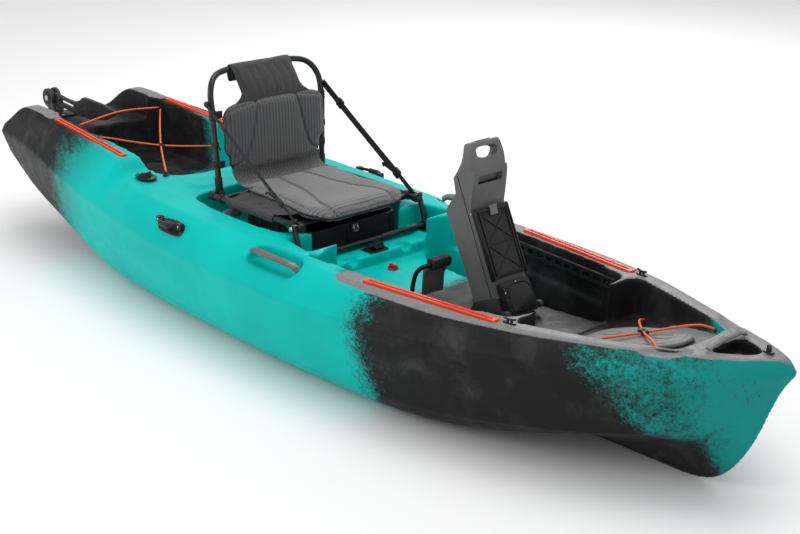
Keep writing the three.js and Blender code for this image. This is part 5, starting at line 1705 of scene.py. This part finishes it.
def make_headrest():
    # the cover runs up the front, over the hoop's top bar and a little way down behind it
    path = [Vector((x, 0, z)) for x, z in ((-322, 648), (-326, 684), (-339, 710), (-358, 738), (-375, 757),
                                           (-385, 767.5), (-394.5, 771.3), (-404, 767), (-407.8, 757), (-407, 740),
                                           (-404, 714))]
    path = curve_points(path, 8)
    run = np.concatenate([[0], np.cumsum([(b - a).length for a, b in zip(path, path[1:])])])
    xs, zs = np.array([p.x for p in path]), np.array([p.z for p in path])

    def middle(u, v):
        t = (u + 1) / 2
        x, z = (float(np.interp(t * run[-1], run, values)) for values in (xs, zs))
        half = 117 + 42 * fade(0.0, 0.28, t) ** 1.5 - 4 * smoothstep(0.7, 1, t)
        lift = 7 * (1 - v * v) * fade(0, 0.15, t)
        return (x - 3 * v * v * fade(0.3, 0.6, t), -v * half, z + lift)

    thick = lambda u, v: 7.5 - 3.6 * smoothstep(0.3, 0.52, (u + 1) / 2)
    pad = pad_shape("headrest_pad_cover", middle, thick, 72, 56, 24)
    stuffed(pad, 3, 4.0, 2.0)
    border = curve2([(-104, 694), (-105, 730), (-106, 762)])
    other = [(-y, z) for y, z in border]
    folds = [curve2([(y, 686), (y * 1.05 + 4, 720), (y, 758)]) for y in (-62, -34, 6, 40, 72)]
    pressed_seams(pad, [border, other], (1, 2), (1, 0, 0.2), 2.0, 3.0, 0.4)
    pressed_seams(pad, folds, (1, 2), (1, 0, 0.2), 1.0, 6.0)
    finished(pad, HEAD_CLOTH, "seat_back", ["headrest_pad"])
    place = on_surface(pad, (1, 2), 0, -0.34)
    seam_thread("headrest_stitches", [border, other], place, "seat_back")


def make_seat_flap():
    """The cloth that joins the backrest's foot to the rear of the seat pan."""
    rings = []
    top, bend, foot = Vector((-311, 0, 468)), Vector((-316, 0, 414)), Vector((-226, 0, 428))
    for i in range(41):
        v = -1 + 2 * i / 40
        drop = []
        for k in range(15):
            t = k / 14
            p = top * (1 - t) ** 2 + bend * (2 * t * (1 - t)) + foot * t * t
            p.y = v * (176 - 5 * math.sin(math.pi * t))
            p.z -= 1.3 * math.sin(9 * v + 5 * t) * math.sin(math.pi * t) + 3 * (1 - v * v) * math.sin(math.pi * t)
            drop.append(p)
        upper = [p + Vector((0.9, 0, 1.2)) for p in drop]
        lower = [p - Vector((0.9, 0, 1.2)) for p in reversed(drop)]
        rings.append(upper + lower)
    flap = painted(mesh_object("seat_flap_cloth", *skin(rings), smooth=60), BACK_CLOTH)
    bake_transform(flap)


def ribbon(name, points, width, thick, across):
    """A flat strap: its width lies along across."""
    path = curve_points(points)
    wide = Vector(across)
    half = [(-1, -0.4), (-0.9, -1), (0.9, -1), (1, -0.4)]
    section = [*half, *[(-a, -b) for a, b in half]]
    rings = []
    for i, p in enumerate(path):
        along = (path[min(i + 1, len(path) - 1)] - path[max(i - 1, 0)]).normalized()
        side = (wide - along * wide.dot(along)).normalized()
        up = side.cross(along)
        rings.append([p + side * a * width / 2 + up * b * thick / 2 for a, b in section])
    return mesh_object(name, *skin(rings), smooth=50)


def make_straps():
    for word, s in SIDES:
        y = s * 233
        top, foot = Vector((-358, y, 672)), Vector((62, y, 402))
        at = lambda t, drop=0: tuple(top.lerp(foot, t) + Vector((0, 0, -drop)))
        wide = 14 if s < 0 else 24
        strap = ribbon("run", [at(0), at(0.3, 2), at(0.6, 2), at(0.86, 1)], wide, 1.8, (0.54, 0, 0.84))
        tail = ribbon("tail", [at(0.78, -3), at(0.9, -1), at(1)], wide * 0.7, 1.6, (0.54, 0, 0.84))
        loose = ribbon("loose", [at(0.84, 3), at(0.76, 12), at(0.7, 22), at(0.68, 32)], wide * 0.6, 1.4, (0.8, 0, 0.6))
        straps = painted(merged(f"back_strap_{word}_webbing", [strap, tail, loose]), STRAP)
        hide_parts(f"back_strap_{word}")
        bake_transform(straps)
        parts = []
        for t in (0.2, 0.84):
            c = Vector(at(t))
            along = (foot - top).normalized()
            up = along.cross(Vector((0, 1, 0)))
            rings = []
            for d, w, h in ((-15, wide * 0.5, 2.4), (-11, wide * 0.62, 4), (11, wide * 0.62, 4), (15, wide * 0.5, 2.4)):
                rings.append([c + along * d + up * a + Vector((0, b, 0)) for a, b in rect(w, h)])
            parts.append(bevelled(mesh_object("buckle", *skin(rings)), 1.6, 3))
        buckle = painted(merged(f"back_strap_buckle_{word}", parts), BLACK_GLOSS)
        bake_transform(buckle)
        eye = disc(f"strap_anchor_{word}", (62, s * RAIL_Y, 402), (0, s, 0), 8, 7, 24, 1.5)
        finished(eye, BLACK, "boat")
        head = disc(f"strap_hoop_mount_{word}", (-358, s * 226, 672), (0, s, 0), 9, 9, 24, 1.6)
        finished(head, BLACK, "seat_back")


def make_bin():
    kept("storage_bin", BLACK, 3.0, 3)
    kept("bin_latch", LATCH_STEEL, 0.8, 2)
    # rolled rim, stiffening ribs down the sides and a recessed front panel
    loop = [(x, y, 350.6) for x, y in rounded([(-253, -171), (59, -171), (59, 171), (-253, 171)], 2, 0.06)]
    parts = [mesh_object("lip", *swept([*loop, loop[0]], rounded(rect(3, 2.3)), straight=True), smooth=50)]
    for s in (-1, 1):
        for x in range(-226, 27, 42):
            parts.append(block(x, x + 6, *span(s, 167.5, 170.5), 240, 344))
    parts.append(block(55.6, 58.2, -150, -24, 240, 246))
    parts.append(block(55.6, 58.2, 24, 150, 240, 246))
    for y in (-150, -24, 21, 147):
        parts.append(block(55.6, 58.2, y, y + 3, 240, 334))
    for y0, y1 in ((-150, -21), (21, 150)):
        parts.append(block(55.6, 58.2, y0, y1, 331, 334))
    finished(bevelled(merged("storage_bin_ribs", parts), 0.7, 2, 40), BLACK, "boat")
    wire = pipe("bin_catch_wire", [(62.5, -8, 343), (66.5, -8, 330), (66.5, -7, 325), (66.5, 7, 325), (66.5, 8, 330),
                                   (62.5, 8, 343)], 1.5, 12, per=5)
    finished(wire, STEEL, "bin_catch")


def make_seat():
    frame_tubes()
    legs()
    hoop()
    make_pan()
    make_pan_wings()
    make_back()
    make_headrest()
    make_seat_flap()
    make_straps()
    make_bin()


# ------------------------------------------------------------------ scene
for make in (
    make_camera, make_studio, make_hull, make_tracks, make_hatch, make_cords, make_bow, make_rod_holders,
    make_side_grips, make_carry_handles, make_tank_mat, make_small_deck_parts, make_rudder, make_drive,
    make_console, make_pedals, make_seat,
):
    make()
